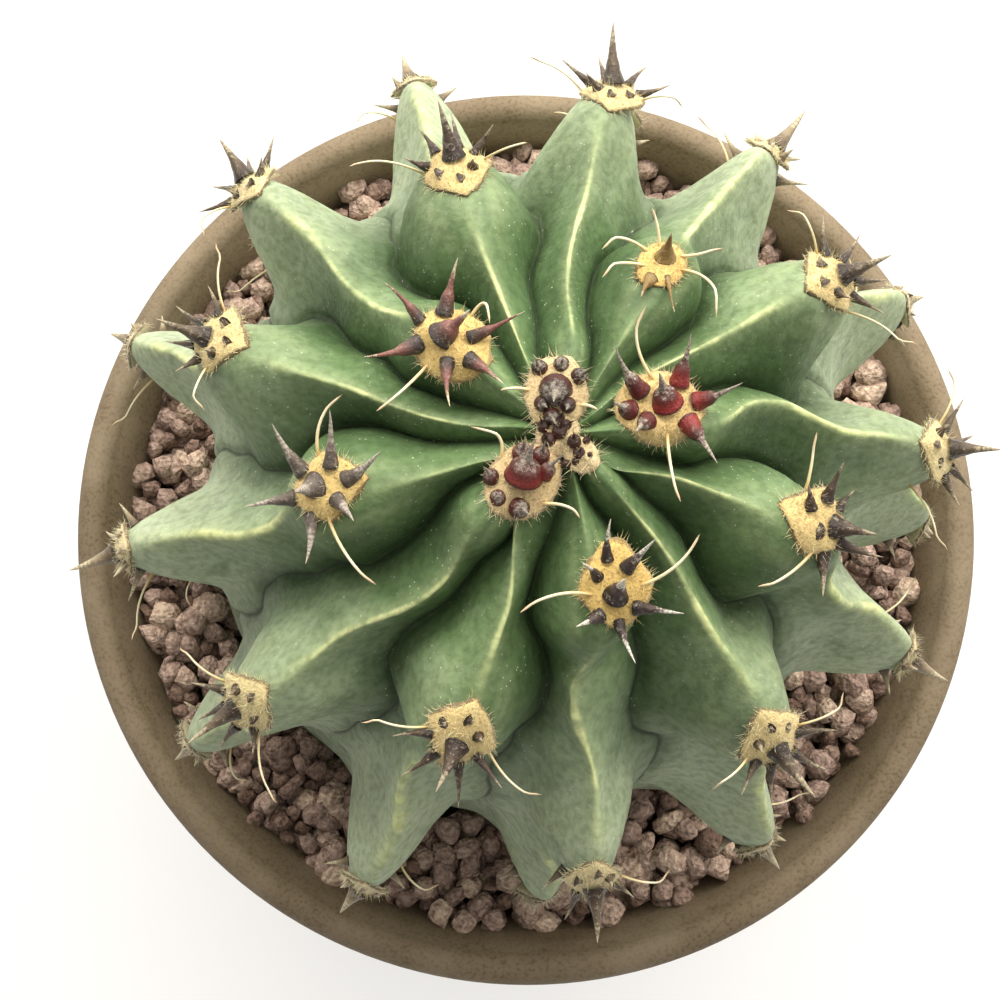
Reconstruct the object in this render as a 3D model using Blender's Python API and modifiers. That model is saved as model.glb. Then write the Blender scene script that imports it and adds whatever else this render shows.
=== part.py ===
"""Round barrel cactus in a plant bowl.

The bowl has a thick round lip, a foot ring and a drain hole. It holds potting soil under a bed of
lava grit with a few loose stones. The stem has thirteen ribs and stands on a root crown in the
soil. Each woolly areole sits on a swelling of its rib and carries its own spines, so it is one
piece with them. Metres, +Z up, origin on the ground under the bowl's centre.
"""

import math
import random

import bmesh
import bpy
from mathutils import Matrix, Vector

# Bowl: heights from the ground, radii from the bowl's axis
RIM_TOP = 0.105
RIM_RADIUS = 0.090
LIP_THICKNESS = 0.0065
COLLAR_HEIGHT = 0.020
COLLAR_STEP = 0.0045
COLLAR_ROUNDING = 0.0015
WALL_THICKNESS = 0.005
FOOT_RADIUS = 0.062
FOOT_WIDTH = 0.009
FOOT_LIFT = 0.003
FOOT_ROUNDING = 0.0020
FLOOR_TOP = 0.009
FLOOR_FILLET = 0.004
DRAIN_RADIUS = 0.008
BOWL_STEPS = 56

# Filling: the clearance keeps touching solids apart
CLEARANCE = 0.0004
GRIT_TOP = RIM_TOP - 0.012
SOIL_TOP = GRIT_TOP - 0.010
GRIT_BUMP = 0.0010
GRIT_STEPS = 60
SOIL_STEPS = 48
LOOSE_STONES = 12
STONE_RADIUS = 0.0034
STONE_DENT = 0.16

# Stem: the areoles lie on an ellipsoid, and furrows and notches are cut back from it.
# Angles run down from the crown, heights from the rim, and ribs clockwise seen from above.
RIB_COUNT = 13
CROWN_RADIUS = 0.0765
CROWN_HALF_HEIGHT = 0.065
CROWN_CENTRE = 0.030
STEM_BASE = SOIL_TOP + CLEARANCE - RIM_TOP
STEM_X, STEM_Y = -0.0024, 0.0023
LEAN_X, LEAN_Y = 0.060, 0.005
CROWN_SHIFT_X, CROWN_SHIFT_Y = 0.0008, -0.0022
CROWN_SHIFT_START = 0.075
FIRST_RIB_DEG = 115.9
TWIST_DEG = -5.5
FURROW_DEPTH = 0.0205
FURROW_OPENING_ANGLE = 0.45
FURROW_CLOSING_ANGLES = (1.75, 2.35)
FURROW_CLOSED_SHARE = 0.93
NOTCH_SHARE = 0.45
STEM_RINGS = 26
RIB_STEPS = 8

# What sets one rib apart from the others: sideways drift, growth, and reach past the ellipsoid
RIB_DRIFT_DEG = (-2, -3.5, -0.5, 1.5, 1, 5, 2.5, 1, 1.5, 0, -1, -3, -1.5)
RIB_LEAD = (0.02, 0, -0.03, 0.015, -0.02, 0.065, 0.005, -0.035, 0.015, -0.02, 0.005, 0, -0.005)
RIB_REACH = (0, 0, -0.003, 0, 0, -0.003, 0, 0, 0, 0, -0.002, 0, 0)

# Root crown
ROOT_RADIUS = 0.032
ROOT_TIP_RADIUS = 0.002
ROOT_LENGTH = 0.044
ROOT_RINGS = 7
ROOT_STEPS = 24

# Areoles, counted from the youngest at the crown: each new one grows five ribs round from the last
AREOLE_COUNT = 34
RIB_JUMP = 5
YOUNGEST_RIB = 6
GROWTH_STEP = 0.0703
GROWTH_START = 0.2176
GROWTH_POWER = 0.9602
CROWN_CROWDING = 0.045
PAD_HALF_LENGTH = 0.0072
PAD_HALF_WIDTH = 0.0053
PAD_THICKNESS = 0.0016
PAD_LIFT = 0.0006
PAD_BEND_RADIUS = 0.0155
PAD_LENGTHWISE_BEND = 0.35
SPINE_ROOT_LIFT = 0.0010
OUTER_SPINES = 6
OUTER_LENGTH = 0.0080
OUTER_RADIUS = 0.0012
OUTER_RING_SHARE = 0.65
OUTER_RISE = 0.62
CENTRAL_LENGTH = 0.0085
CENTRAL_RADIUS = 0.0019
CENTRAL_TILT = 0.25
SPINE_SIDES = 4


def smooth_step(value, low, high):
    t = min(1.0, max(0.0, (value - low) / (high - low)))
    return t * t * (3 - 2 * t)


def mix(a, b, share):
    return a + (b - a) * share


# ---------------------------------------------------------------- scene and materials


def clear_scene():
    for obj in list(bpy.data.objects):
        bpy.data.objects.remove(obj, do_unlink=True)


def new_collection(name):
    collection = bpy.data.collections.new(name)
    bpy.context.scene.collection.children.link(collection)
    return collection


def material(name, colour, roughness):
    made = bpy.data.materials.new(name)
    made.use_nodes = True
    shader = made.node_tree.nodes["Principled BSDF"]
    shader.inputs["Base Color"].default_value = (*colour, 1.0)
    shader.inputs["Roughness"].default_value = roughness
    shader.inputs["Metallic"].default_value = 0.0
    return made


def object_from_bmesh(name, bm, finish, collection):
    mesh = bpy.data.meshes.new(name)
    bm.to_mesh(mesh)
    bm.free()
    mesh.materials.append(finish)
    obj = bpy.data.objects.new(name, mesh)
    collection.objects.link(obj)
    return obj


def make_helper(obj):
    obj.hide_render = True
    obj.display_type = "WIRE"


def turned(name, profile, steps, finish, collection, closed=False):
    """A solid of revolution from (radius, height) points, as a plain mesh."""
    bm = bmesh.new()
    points = [bm.verts.new((radius, 0.0, height)) for radius, height in profile]
    for first, second in zip(points, points[1:]):
        bm.edges.new((first, second))
    if closed:
        bm.edges.new((points[-1], points[0]))
    obj = object_from_bmesh(name, bm, finish, collection)
    screw = obj.modifiers.new("turned", "SCREW")
    screw.steps = screw.render_steps = steps
    screw.use_merge_vertices = True
    screw.merge_threshold = 0.00001
    graph = bpy.context.evaluated_depsgraph_get()
    mesh = bpy.data.meshes.new_from_object(obj.evaluated_get(graph))
    obj.modifiers.clear()
    obj.data = mesh
    return obj


def shade_smooth(obj, degrees):
    obj.data.shade_smooth()
    obj.data.set_sharp_from_angle(angle=math.radians(degrees))


# ---------------------------------------------------------------- where the ribs and areoles are


def areole_rib(number):
    return (YOUNGEST_RIB - RIB_JUMP * number) % RIB_COUNT


def rib_first_areole(rib):
    """The number of the rib's youngest areole: 8 undoes the jump of 5, as 5 x 8 = 3 x 13 + 1."""
    return (8 * (YOUNGEST_RIB - rib)) % RIB_COUNT


def areole_angle(number):
    grown = GROWTH_STEP * (number + GROWTH_START) ** GROWTH_POWER
    return grown * (1 + RIB_LEAD[areole_rib(number)]) + CROWN_CROWDING * math.exp(-number)


def rib_phase(rib, angle):
    """Whole numbers at the rib's areoles, and fractions between them."""
    rib = rib % RIB_COUNT
    age = (angle / (GROWTH_STEP * (1 + RIB_LEAD[rib]))) ** (1 / GROWTH_POWER) - GROWTH_START
    return (age - rib_first_areole(rib)) / RIB_COUNT


def rib_azimuth(rib, angle):
    turn = FIRST_RIB_DEG - rib * 360 / RIB_COUNT + RIB_DRIFT_DEG[rib % RIB_COUNT]
    return math.radians(turn + TWIST_DEG * angle)


def knob_weight(phase):
    """One on the swelling that carries an areole, nought on the narrow crest between two."""
    if phase < -0.5:
        return 0.0
    offset = phase - math.floor(phase + 0.5)
    return smooth_step(offset, -0.30, -0.06) * (1 - smooth_step(offset, 0.07, 0.24))


def notch_weight(phase):
    """How far the crest has dropped: most just below an areole, then a slow climb to the next."""
    along = phase - math.floor(phase)
    return smooth_step(along, 0.06, 0.28) * (1 - smooth_step(along, 0.45, 0.97))


# ---------------------------------------------------------------- stem


def crown_point(angle):
    """(radius, height) on the ellipsoid, and the outward normal there."""
    surface = Vector((CROWN_RADIUS * math.sin(angle), CROWN_CENTRE + CROWN_HALF_HEIGHT * math.cos(angle)))
    normal = Vector((math.sin(angle) / CROWN_RADIUS, math.cos(angle) / CROWN_HALF_HEIGHT)).normalized()
    return surface, normal


def crown_angle(height):
    return math.acos((height - CROWN_CENTRE) / CROWN_HALF_HEIGHT)


def furrow_depth(angle):
    opening = 1 - math.exp(-angle / FURROW_OPENING_ANGLE)
    closing = 1 - FURROW_CLOSED_SHARE * smooth_step(angle, *FURROW_CLOSING_ANGLES)
    return FURROW_DEPTH * opening * closing


def placed(radius, height, azimuth):
    """A point of the stem in the bowl's frame, with the stem's offset, lean and off-centre crown."""
    crown = smooth_step(height, CROWN_SHIFT_START, CROWN_CENTRE + CROWN_HALF_HEIGHT)
    x = STEM_X + LEAN_X * height + CROWN_SHIFT_X * crown + radius * math.cos(azimuth)
    y = STEM_Y + LEAN_Y * height + CROWN_SHIFT_Y * crown + radius * math.sin(azimuth)
    return Vector((x, y, RIM_TOP + height))


def stem_point(rib, across, angle):
    """A point of the stem's skin: across runs from -1 in one furrow, over the crest at 0, to 1.

    A swelling pushes its two furrows aside, and is a rounded finger that gets slimmer further
    out. The crest between two swellings is a sharper ridge.
    """
    side = 1 if across >= 0 else -1
    own = knob_weight(rib_phase(rib, angle))
    beside = knob_weight(rib_phase(rib + side, angle))
    outward = smooth_step(angle, 0.4, 1.4)
    reach = 0.5 + mix(0.2, 0.03, outward) * (own - beside)
    crest_azimuth = rib_azimuth(rib, angle)
    beside_azimuth = rib_azimuth(rib + side, angle)
    azimuth = crest_azimuth + (beside_azimuth - crest_azimuth) * reach * abs(across)

    off_crest = abs(across)
    finger = (1 - off_crest**2.3) ** mix(0.8, 3.0, outward)
    ridge = (1 - mix(off_crest, off_crest**1.6, 0.5)) ** mix(0.9, 2.0, outward)
    rise = mix(ridge, finger, own)
    crest_drop = NOTCH_SHARE * notch_weight(rib_phase(rib, angle))
    surface, normal = crown_point(angle)
    point = surface - normal * furrow_depth(angle) * (1 - rise * (1 - crest_drop))
    point.x += RIB_REACH[rib % RIB_COUNT] * rise * smooth_step(angle, 0.8, 1.3)
    return placed(max(point.x, 0.0), point.y, azimuth)


def add_stem(finish, collection):
    """Rings of points from crown to base, bridged into one skin with a fan at each end."""
    bm = bmesh.new()
    rings = []
    for step in range(STEM_RINGS):
        angle = crown_angle(STEM_BASE) * (step + 1) / STEM_RINGS
        ring = []
        for rib in reversed(range(RIB_COUNT)):
            for part in range(RIB_STEPS):
                across = 1 - 2 * part / RIB_STEPS
                ring.append(bm.verts.new(stem_point(rib, across, angle)))
        rings.append([bm.edges.new((a, b)) for a, b in zip(ring, ring[1:] + ring[:1])])
    for upper, lower in zip(rings, rings[1:]):
        bmesh.ops.bridge_loops(bm, edges=upper + lower)
    crown_dip = 0.002
    top = bm.verts.new(placed(0, CROWN_CENTRE + CROWN_HALF_HEIGHT - crown_dip, 0))
    base = bm.verts.new(placed(0, STEM_BASE, 0))
    for ring, centre in ((rings[0], top), (rings[-1], base)):
        for edge in ring:
            bm.faces.new((edge.verts[0], edge.verts[1], centre))
    bmesh.ops.recalc_face_normals(bm, faces=bm.faces)
    shade_smooth(object_from_bmesh("stem", bm, finish, collection), 60)


# ---------------------------------------------------------------- areoles and spines


def areole_frame(number):
    """Centre on the crest, outward normal, downhill and sideways directions, and size for its age."""
    rib = areole_rib(number)
    angle = areole_angle(number)
    step = 0.02
    centre = stem_point(rib, 0.0, angle)
    downhill = stem_point(rib, 0.0, angle + step) - stem_point(rib, 0.0, angle - step)
    azimuth = rib_azimuth(rib, angle)
    flat_normal = crown_point(angle)[1]
    normal = Vector((flat_normal.x * math.cos(azimuth), flat_normal.x * math.sin(azimuth), flat_normal.y))
    sideways = normal.cross(downhill).normalized()
    downhill = sideways.cross(normal).normalized()
    size = mix(0.42, 1.0, smooth_step(number, -1, 3))
    return centre, normal, downhill, sideways, size


def add_pad(number, frame, finish, collection):
    """A flat cushion of wool whose underside bends down over the swelling of the rib."""
    centre, normal, downhill, sideways, size = frame
    bm = bmesh.new()
    bmesh.ops.create_uvsphere(bm, u_segments=8, v_segments=4, radius=1.0)
    for vert in bm.verts:
        along = vert.co.x * PAD_HALF_LENGTH * size
        across = vert.co.y * PAD_HALF_WIDTH * size
        sag = (PAD_LENGTHWISE_BEND * along * along + across * across) / (2 * PAD_BEND_RADIUS)
        lift = PAD_LIFT + max(0.0, vert.co.z) * PAD_THICKNESS - sag
        vert.co = centre + downhill * along + sideways * across + normal * lift
    return object_from_bmesh(f"areole_{number + 1:02d}", bm, finish, collection)


def add_cone(bm, root, way, length, radius):
    upright = way.to_track_quat("Z", "Y").to_matrix().to_4x4()
    place = Matrix.Translation(root + way * length / 2) @ upright
    bmesh.ops.create_cone(
        bm, cap_ends=True, segments=SPINE_SIDES, radius1=radius, radius2=0.0, depth=length, matrix=place
    )


def add_spines(number, frame, finish, collection):
    """Cones rooted in the pad: a ring that leans outward and a stout central one."""
    centre, normal, downhill, sideways, size = frame
    grown = smooth_step(number, -1, 4)
    middle = centre + normal * SPINE_ROOT_LIFT
    bm = bmesh.new()
    for spine in range(OUTER_SPINES):
        turn = math.radians(25 + 17 * (number % 3)) + 2 * math.pi * spine / OUTER_SPINES
        root = middle + downhill * math.cos(turn) * PAD_HALF_LENGTH * OUTER_RING_SHARE * size
        root += sideways * math.sin(turn) * PAD_HALF_WIDTH * OUTER_RING_SHARE * size
        outward = downhill * math.cos(turn) + sideways * math.sin(turn)
        way = (normal * OUTER_RISE + outward).normalized()
        add_cone(bm, root, way, OUTER_LENGTH * mix(0.3, 1.0, grown), OUTER_RADIUS * size)
    way = (normal + downhill * CENTRAL_TILT).normalized()
    add_cone(bm, middle, way, CENTRAL_LENGTH * mix(0.5, 1.0, grown), CENTRAL_RADIUS * size)
    obj = object_from_bmesh(f"spines_{number + 1:02d}", bm, finish, collection)
    make_helper(obj)
    return obj


def add_areoles(wool, spine, collection, helpers):
    for number in range(AREOLE_COUNT):
        frame = areole_frame(number)
        pad = add_pad(number, frame, wool, collection)
        union = pad.modifiers.new("spines", "BOOLEAN")
        union.operation = "UNION"
        union.object = add_spines(number, frame, spine, helpers)


# ---------------------------------------------------------------- bowl and filling


def inner_radius(height):
    """The inner wall's radius: it tapers straight from the lip to the floor."""
    share = (height - FLOOR_TOP) / (RIM_TOP - FLOOR_TOP)
    return mix(FOOT_RADIUS - WALL_THICKNESS, RIM_RADIUS - LIP_THICKNESS, share)


def add_bowl(finish, collection):
    """The section runs down the outside, under the foot, and back up the inside to the round lip."""
    collar_bottom = RIM_TOP - COLLAR_HEIGHT
    lip = LIP_THICKNESS / 2
    foot_inside = FOOT_RADIUS - FOOT_WIDTH
    section = []
    for degrees in (150, 120, 90, 60, 30, 0):
        turn = math.radians(degrees)
        section.append((RIM_RADIUS - lip + lip * math.cos(turn), RIM_TOP - lip + lip * math.sin(turn)))
    section += [
        (RIM_RADIUS, collar_bottom + COLLAR_ROUNDING),
        (RIM_RADIUS - COLLAR_ROUNDING, collar_bottom),
        (RIM_RADIUS - COLLAR_STEP, collar_bottom - COLLAR_ROUNDING),
        (FOOT_RADIUS + FOOT_ROUNDING, FOOT_ROUNDING),
        (FOOT_RADIUS, 0.0),
        (foot_inside, 0.0),
        (foot_inside - COLLAR_ROUNDING, FOOT_LIFT),
        (DRAIN_RADIUS, FOOT_LIFT),
        (DRAIN_RADIUS, FLOOR_TOP),
        (inner_radius(FLOOR_TOP) - FLOOR_FILLET, FLOOR_TOP),
        (inner_radius(FLOOR_TOP + FLOOR_FILLET), FLOOR_TOP + FLOOR_FILLET),
        (inner_radius(RIM_TOP - lip), RIM_TOP - lip),
    ]
    shade_smooth(turned("bowl", section, BOWL_STEPS, finish, collection, closed=True), 40)


def root_section(growth):
    """Radii and heights of the root crown from the top of the soil down, grown by a margin."""
    section = []
    for ring in range(ROOT_RINGS):
        share = ring / (ROOT_RINGS - 1)
        radius = mix(ROOT_RADIUS, ROOT_TIP_RADIUS, share**1.25)
        section.append((radius + growth, SOIL_TOP - CLEARANCE / 2 - ROOT_LENGTH * share))
    section.append((0.0, SOIL_TOP - ROOT_LENGTH - ROOT_TIP_RADIUS - growth))
    return section


def add_root_crown(finish, collection):
    section = root_section(0.0)
    root = turned("root_crown", [(0.0, section[0][1])] + section, ROOT_STEPS, finish, collection)
    root.location = (*placed(0, STEM_BASE, 0).xy, 0.0)


def add_soil(finish, collection, helpers):
    """Soil fills the bowl up to the grit, with a pocket of the root crown's shape."""
    top = SOIL_TOP - CLEARANCE
    bottom = FLOOR_TOP + CLEARANCE
    section = [
        (0.0, top),
        (inner_radius(SOIL_TOP) - CLEARANCE, top),
        (inner_radius(bottom + FLOOR_FILLET) - CLEARANCE, bottom + FLOOR_FILLET),
        (inner_radius(FLOOR_TOP) - FLOOR_FILLET - CLEARANCE, bottom),
        (0.0, bottom),
    ]
    soil = turned("soil", section, SOIL_STEPS, finish, collection)
    pocket_rim = SOIL_TOP + 0.004
    pocket = root_section(CLEARANCE)
    pocket = [(0.0, pocket_rim), (pocket[0][0], pocket_rim)] + pocket
    cutter = turned("root_pocket", pocket, ROOT_STEPS, finish, helpers)
    cutter.location = (*placed(0, STEM_BASE, 0).xy, 0.0)
    make_helper(cutter)
    cut = soil.modifiers.new("root pocket", "BOOLEAN")
    cut.operation = "DIFFERENCE"
    cut.object = cutter


def add_grit_bed(finish, collection):
    """A ring of grit: flat below, uneven on top, with its hole round the foot of the stem."""
    inner = crown_point(crown_angle(GRIT_TOP + GRIT_BUMP - RIM_TOP))[0].x + CLEARANCE
    outer_top = inner_radius(GRIT_TOP) - CLEARANCE
    outer = inner_radius(SOIL_TOP) - CLEARANCE
    section = [(mix(inner, outer_top, step / 5), GRIT_TOP) for step in range(6)]
    section += [(outer, SOIL_TOP), (inner, SOIL_TOP)]
    bed = turned("grit_bed", section, GRIT_STEPS, finish, collection, closed=True)
    chance = random.Random(4)
    centre = placed(0, GRIT_TOP - RIM_TOP, 0)
    for vert in bed.data.vertices:
        inside = 1 - smooth_step(vert.co.xy.length, inner, outer)
        on_top = vert.co.z > (GRIT_TOP + SOIL_TOP) / 2
        bump = chance.uniform(-GRIT_BUMP, GRIT_BUMP) if on_top else 0.0
        vert.co += Vector((centre.x * inside, centre.y * inside, bump))


def add_loose_stones(finish, collection):
    """Larger pieces of lava that lie on the bed: dented balls, each with its own proportions."""
    chance = random.Random(11)
    ring_radius = inner_radius(GRIT_TOP) - 2.1 * STONE_RADIUS
    for number in range(LOOSE_STONES):
        azimuth = 2 * math.pi * (number + 0.35 * chance.random()) / LOOSE_STONES
        stretch = Vector((chance.uniform(0.9, 1.25), chance.uniform(0.8, 1.0), chance.uniform(0.65, 0.85)))
        bm = bmesh.new()
        bmesh.ops.create_icosphere(bm, subdivisions=2, radius=1.0)
        for vert in bm.verts:
            dent = 1 + STONE_DENT * math.sin(3 * vert.co.x + number) * math.cos(2.4 * vert.co.y - number)
            vert.co = vert.co * stretch * dent * STONE_RADIUS
        lowest = min(vert.co.z for vert in bm.verts)
        obj = object_from_bmesh(f"grit_stone_{number + 1:02d}", bm, finish, collection)
        height = GRIT_TOP + GRIT_BUMP + CLEARANCE - lowest
        obj.location = (ring_radius * math.cos(azimuth), ring_radius * math.sin(azimuth), height)
        obj.rotation_euler.z = chance.uniform(0, math.pi)


# ---------------------------------------------------------------- assembly


def build():
    clear_scene()
    cactus = new_collection("potted_cactus")
    helpers = new_collection("helpers")
    stoneware = material("bowl_stoneware", (0.27, 0.215, 0.16), 0.75)
    earth = material("potting_soil", (0.035, 0.024, 0.017), 0.95)
    lava = material("lava_grit", (0.16, 0.10, 0.085), 0.9)
    skin = material("cactus_skin", (0.14, 0.27, 0.13), 0.5)
    root = material("root_cork", (0.20, 0.13, 0.075), 0.9)
    wool = material("areole_wool", (0.66, 0.52, 0.27), 0.95)
    spine = material("spine_horn", (0.07, 0.035, 0.028), 0.5)

    add_bowl(stoneware, cactus)
    add_soil(earth, cactus, helpers)
    add_grit_bed(lava, cactus)
    add_loose_stones(lava, cactus)
    add_root_crown(root, cactus)
    add_stem(skin, cactus)
    add_areoles(wool, spine, cactus, helpers)


build()
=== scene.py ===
"""Round barrel cactus in a stoneware bowl, dressed on its CAD frame. Metres, +Z up."""

import ast
import math
from textwrap import dedent
from types import SimpleNamespace

import bmesh
import bpy
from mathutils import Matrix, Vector, noise


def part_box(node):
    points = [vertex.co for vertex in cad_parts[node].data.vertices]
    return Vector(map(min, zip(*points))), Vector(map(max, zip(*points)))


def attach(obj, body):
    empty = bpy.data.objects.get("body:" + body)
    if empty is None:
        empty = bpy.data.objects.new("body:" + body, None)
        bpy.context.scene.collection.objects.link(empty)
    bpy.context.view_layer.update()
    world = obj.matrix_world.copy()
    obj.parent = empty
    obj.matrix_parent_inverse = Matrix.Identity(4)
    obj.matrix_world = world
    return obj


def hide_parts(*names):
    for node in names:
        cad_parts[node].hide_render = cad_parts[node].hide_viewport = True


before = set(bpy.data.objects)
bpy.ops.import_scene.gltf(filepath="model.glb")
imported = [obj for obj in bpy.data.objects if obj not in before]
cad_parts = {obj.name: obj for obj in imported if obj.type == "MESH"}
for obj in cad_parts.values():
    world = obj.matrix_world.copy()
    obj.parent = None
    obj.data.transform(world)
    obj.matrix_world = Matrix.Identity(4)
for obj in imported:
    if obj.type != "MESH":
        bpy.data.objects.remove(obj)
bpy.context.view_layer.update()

# ---------------------------------------------------------------------------------------------
# The bowl: unglazed stoneware, thrown in one piece with a thick round lip, a collar under it, a
# foot ring turned on the base and a hole through the floor. The others stand in it.
# ---------------------------------------------------------------------------------------------

rim_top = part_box("bowl")[1].z
rim_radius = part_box("bowl")[1].x
lip_thickness = 0.0065
collar_height = 0.020
collar_step = 0.0045
collar_rounding = 0.0018
wall_thickness = 0.005
foot_radius = 0.062
foot_width = 0.009
foot_lift = 0.003
foot_edge = 0.0012
foot_flare = 0.002
floor_top = 0.009
floor_fillet = 0.004
drain_radius = 0.008
drain_edge = 0.0008
throwing_ring_spacing = 0.0065
throwing_ring_height = 0.00012
bowl_steps = 160
outer_wall_steps = 46
inner_wall_steps = 20


def linear(hex_colour):
    """An sRGB hex colour as the linear values that a shader takes."""
    channels = [int(hex_colour[i : i + 2], 16) / 255 for i in (1, 3, 5)]
    return (*[c / 12.92 if c <= 0.04045 else ((c + 0.055) / 1.055) ** 2.4 for c in channels], 1.0)


def add(tree, kind, inputs=None, stops=(), **settings):
    """Adds a node: settings are its properties, inputs values or what to link, stops a ramp's."""
    made = tree.nodes.new(kind)
    for name, value in settings.items():
        setattr(made, name, value)
    for name, value in (inputs or {}).items():
        if isinstance(value, bpy.types.Node):
            value = next(output for output in value.outputs if output.enabled)
        if isinstance(value, bpy.types.NodeSocket):
            tree.links.new(value, made.inputs[name])
        elif isinstance(value, str) and value.startswith("#"):
            made.inputs[name].default_value = linear(value)
        else:
            made.inputs[name].default_value = value
    while stops and len(made.color_ramp.elements) < len(stops):
        made.color_ramp.elements.new(0.5)
    for place, (position, colour) in enumerate(stops):
        element = made.color_ramp.elements[place]
        element.position = position
        element.color = linear(colour) if isinstance(colour, str) else (colour, colour, colour, 1.0)
    return made


def new_material(name):
    """A material, its tree, and the object coordinates that its patterns use."""
    made = bpy.data.materials.new(name)
    made.use_nodes = True
    made.node_tree.nodes.clear()
    return made, made.node_tree, add(made.node_tree, "ShaderNodeTexCoord").outputs["Object"]


def surfaced(made, height, distance, strength, **values):
    """Ends a material: its shader's values by name, and a relief of this height in metres."""
    tree = made.node_tree
    bump = {"Height": height, "Distance": distance, "Strength": strength}
    inputs = {name.replace("_", " "): value for name, value in values.items()}
    inputs["Normal"] = add(tree, "ShaderNodeBump", bump)
    shader = add(tree, "ShaderNodeBsdfPrincipled", inputs)
    add(tree, "ShaderNodeOutputMaterial", {"Surface": shader})
    return made


def stoneware_material():
    """Unglazed stoneware: matt clay with fine grog, paler high on the bowl than lower down."""
    made, tree, place = new_material("stoneware")
    clouds = add(tree, "ShaderNodeTexNoise", {"Vector": place, "Scale": 38.0, "Detail": 5.0})
    grog = add(tree, "ShaderNodeTexNoise", {"Vector": place, "Scale": 1400.0, "Detail": 3.0})
    clay = add(tree, "ShaderNodeValToRGB", {"Fac": clouds}, ((0.32, "#6e604b"), (0.70, "#7d6f59")))
    specks = add(tree, "ShaderNodeValToRGB", {"Fac": grog}, ((0.34, "#a89d8a"), (0.52, "#ffffff")))
    speckled = {0: 0.55, 6: clay, 7: specks}
    clay = add(tree, "ShaderNodeMix", speckled, data_type="RGBA", blend_type="MULTIPLY")
    # The clay is painted paler high on the bowl, over the lip and collar, in soft runs.
    height = add(tree, "ShaderNodeSeparateXYZ", {0: place}).outputs["Z"]
    high = {"Value": height, "From Min": rim_top - 0.045, "From Max": rim_top}
    high = add(tree, "ShaderNodeMapRange", high, interpolation_type="SMOOTHSTEP")
    runs = add(tree, "ShaderNodeTexNoise", {"Vector": place, "Scale": 90.0, "Detail": 6.0})
    paler_near_rim = add(tree, "ShaderNodeMath", {0: high, 1: runs}, operation="MULTIPLY")
    paler_near_rim = add(tree, "ShaderNodeValToRGB", {"Fac": paler_near_rim}, ((0.38, 0.0), (0.72, 0.5)))
    clay = add(tree, "ShaderNodeMix", {0: paler_near_rim, 6: clay, 7: "#928570"}, data_type="RGBA")
    rough = add(tree, "ShaderNodeMapRange", {"Value": clouds, "To Min": 0.62, "To Max": 0.86})
    return surfaced(
        made, grog, 0.00018, 0.6, Base_Color=clay, Roughness=rough, Specular_IOR_Level=0.35
    )


def inner_radius(height):
    share = (height - floor_top) / (rim_top - floor_top)
    bottom = foot_radius - wall_thickness
    return bottom + (rim_radius - lip_thickness - bottom) * share


def throwing_ring(height):
    return throwing_ring_height * math.cos(2 * math.pi * height / throwing_ring_spacing)


def bowl_profile():
    """(radius, height) points from the lip's inner edge over it, down the outside and back up."""
    lip = lip_thickness / 2
    collar_bottom = rim_top - collar_height
    points = []
    for degrees in range(165, -1, -15):
        turn = math.radians(degrees)
        radius = rim_radius - lip + lip * math.cos(turn)
        points.append((radius, rim_top - lip + lip * math.sin(turn)))
    points.append((rim_radius, collar_bottom + collar_rounding))
    for degrees in (-20, -45, -70):
        turn = math.radians(degrees)
        radius = rim_radius - collar_rounding * (1 - math.cos(turn))
        points.append((radius, collar_bottom + collar_rounding * (1 + math.sin(turn))))
    wall_top = collar_bottom - foot_edge
    wall_radius = rim_radius - collar_step
    points.append((wall_radius, wall_top))
    for step in range(1, outer_wall_steps):
        share = step / outer_wall_steps
        radius = wall_radius + (foot_radius + foot_flare - wall_radius) * share
        height = wall_top + (foot_flare - wall_top) * share
        points.append((radius + throwing_ring(height), height))
    inside_foot = foot_radius - foot_width
    points += [(foot_radius + foot_edge, foot_edge / 2), (foot_radius, 0.0), (inside_foot, 0.0)]
    points += [(inside_foot - foot_edge, foot_edge), (inside_foot - foot_edge * 1.25, foot_lift)]
    points += [(drain_radius + drain_edge, foot_lift), (drain_radius, foot_lift + drain_edge)]
    points += [(drain_radius, floor_top - drain_edge), (drain_radius + drain_edge, floor_top)]
    wall_foot = floor_top + floor_fillet
    points.append((inner_radius(floor_top) - floor_fillet, floor_top))
    points.append((inner_radius(wall_foot), wall_foot))
    for step in range(1, inner_wall_steps):
        height = wall_foot + (rim_top - lip - wall_foot) * step / inner_wall_steps
        points.append((inner_radius(height) + throwing_ring(height), height))
    points.append((inner_radius(rim_top - lip), rim_top - lip))
    return points


def turned_bowl(material):
    """The profile swept round by a Screw modifier, then made a plain mesh."""
    profile = bowl_profile()
    mesh = bpy.data.meshes.new("bowl_turned")
    edges = [(i, (i + 1) % len(profile)) for i in range(len(profile))]
    mesh.from_pydata([(radius, 0.0, height) for radius, height in profile], edges, [])
    obj = bpy.data.objects.new("bowl_turned", mesh)
    bpy.context.scene.collection.objects.link(obj)
    screw = obj.modifiers.new("turned", "SCREW")
    screw.steps = screw.render_steps = bowl_steps
    screw.use_merge_vertices = True
    screw.merge_threshold = 0.00001
    graph = bpy.context.evaluated_depsgraph_get()
    obj.data = bpy.data.meshes.new_from_object(obj.evaluated_get(graph))
    obj.modifiers.clear()
    obj.data.materials.clear()
    obj.data.materials.append(material)
    obj.data.shade_smooth()
    obj.data.set_sharp_from_angle(angle=math.radians(50))
    return obj


bowl = turned_bowl(stoneware_material())
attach(bowl, "root")
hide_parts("bowl")

# ---------------------------------------------------------------------------------------------
# The potting soil: a damp block of peat and fine bark under the grit, seen only through the hole
# in the floor, and in it the corky root crown that the stem stands on. Both keep their CAD shape.
# ---------------------------------------------------------------------------------------------


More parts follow.
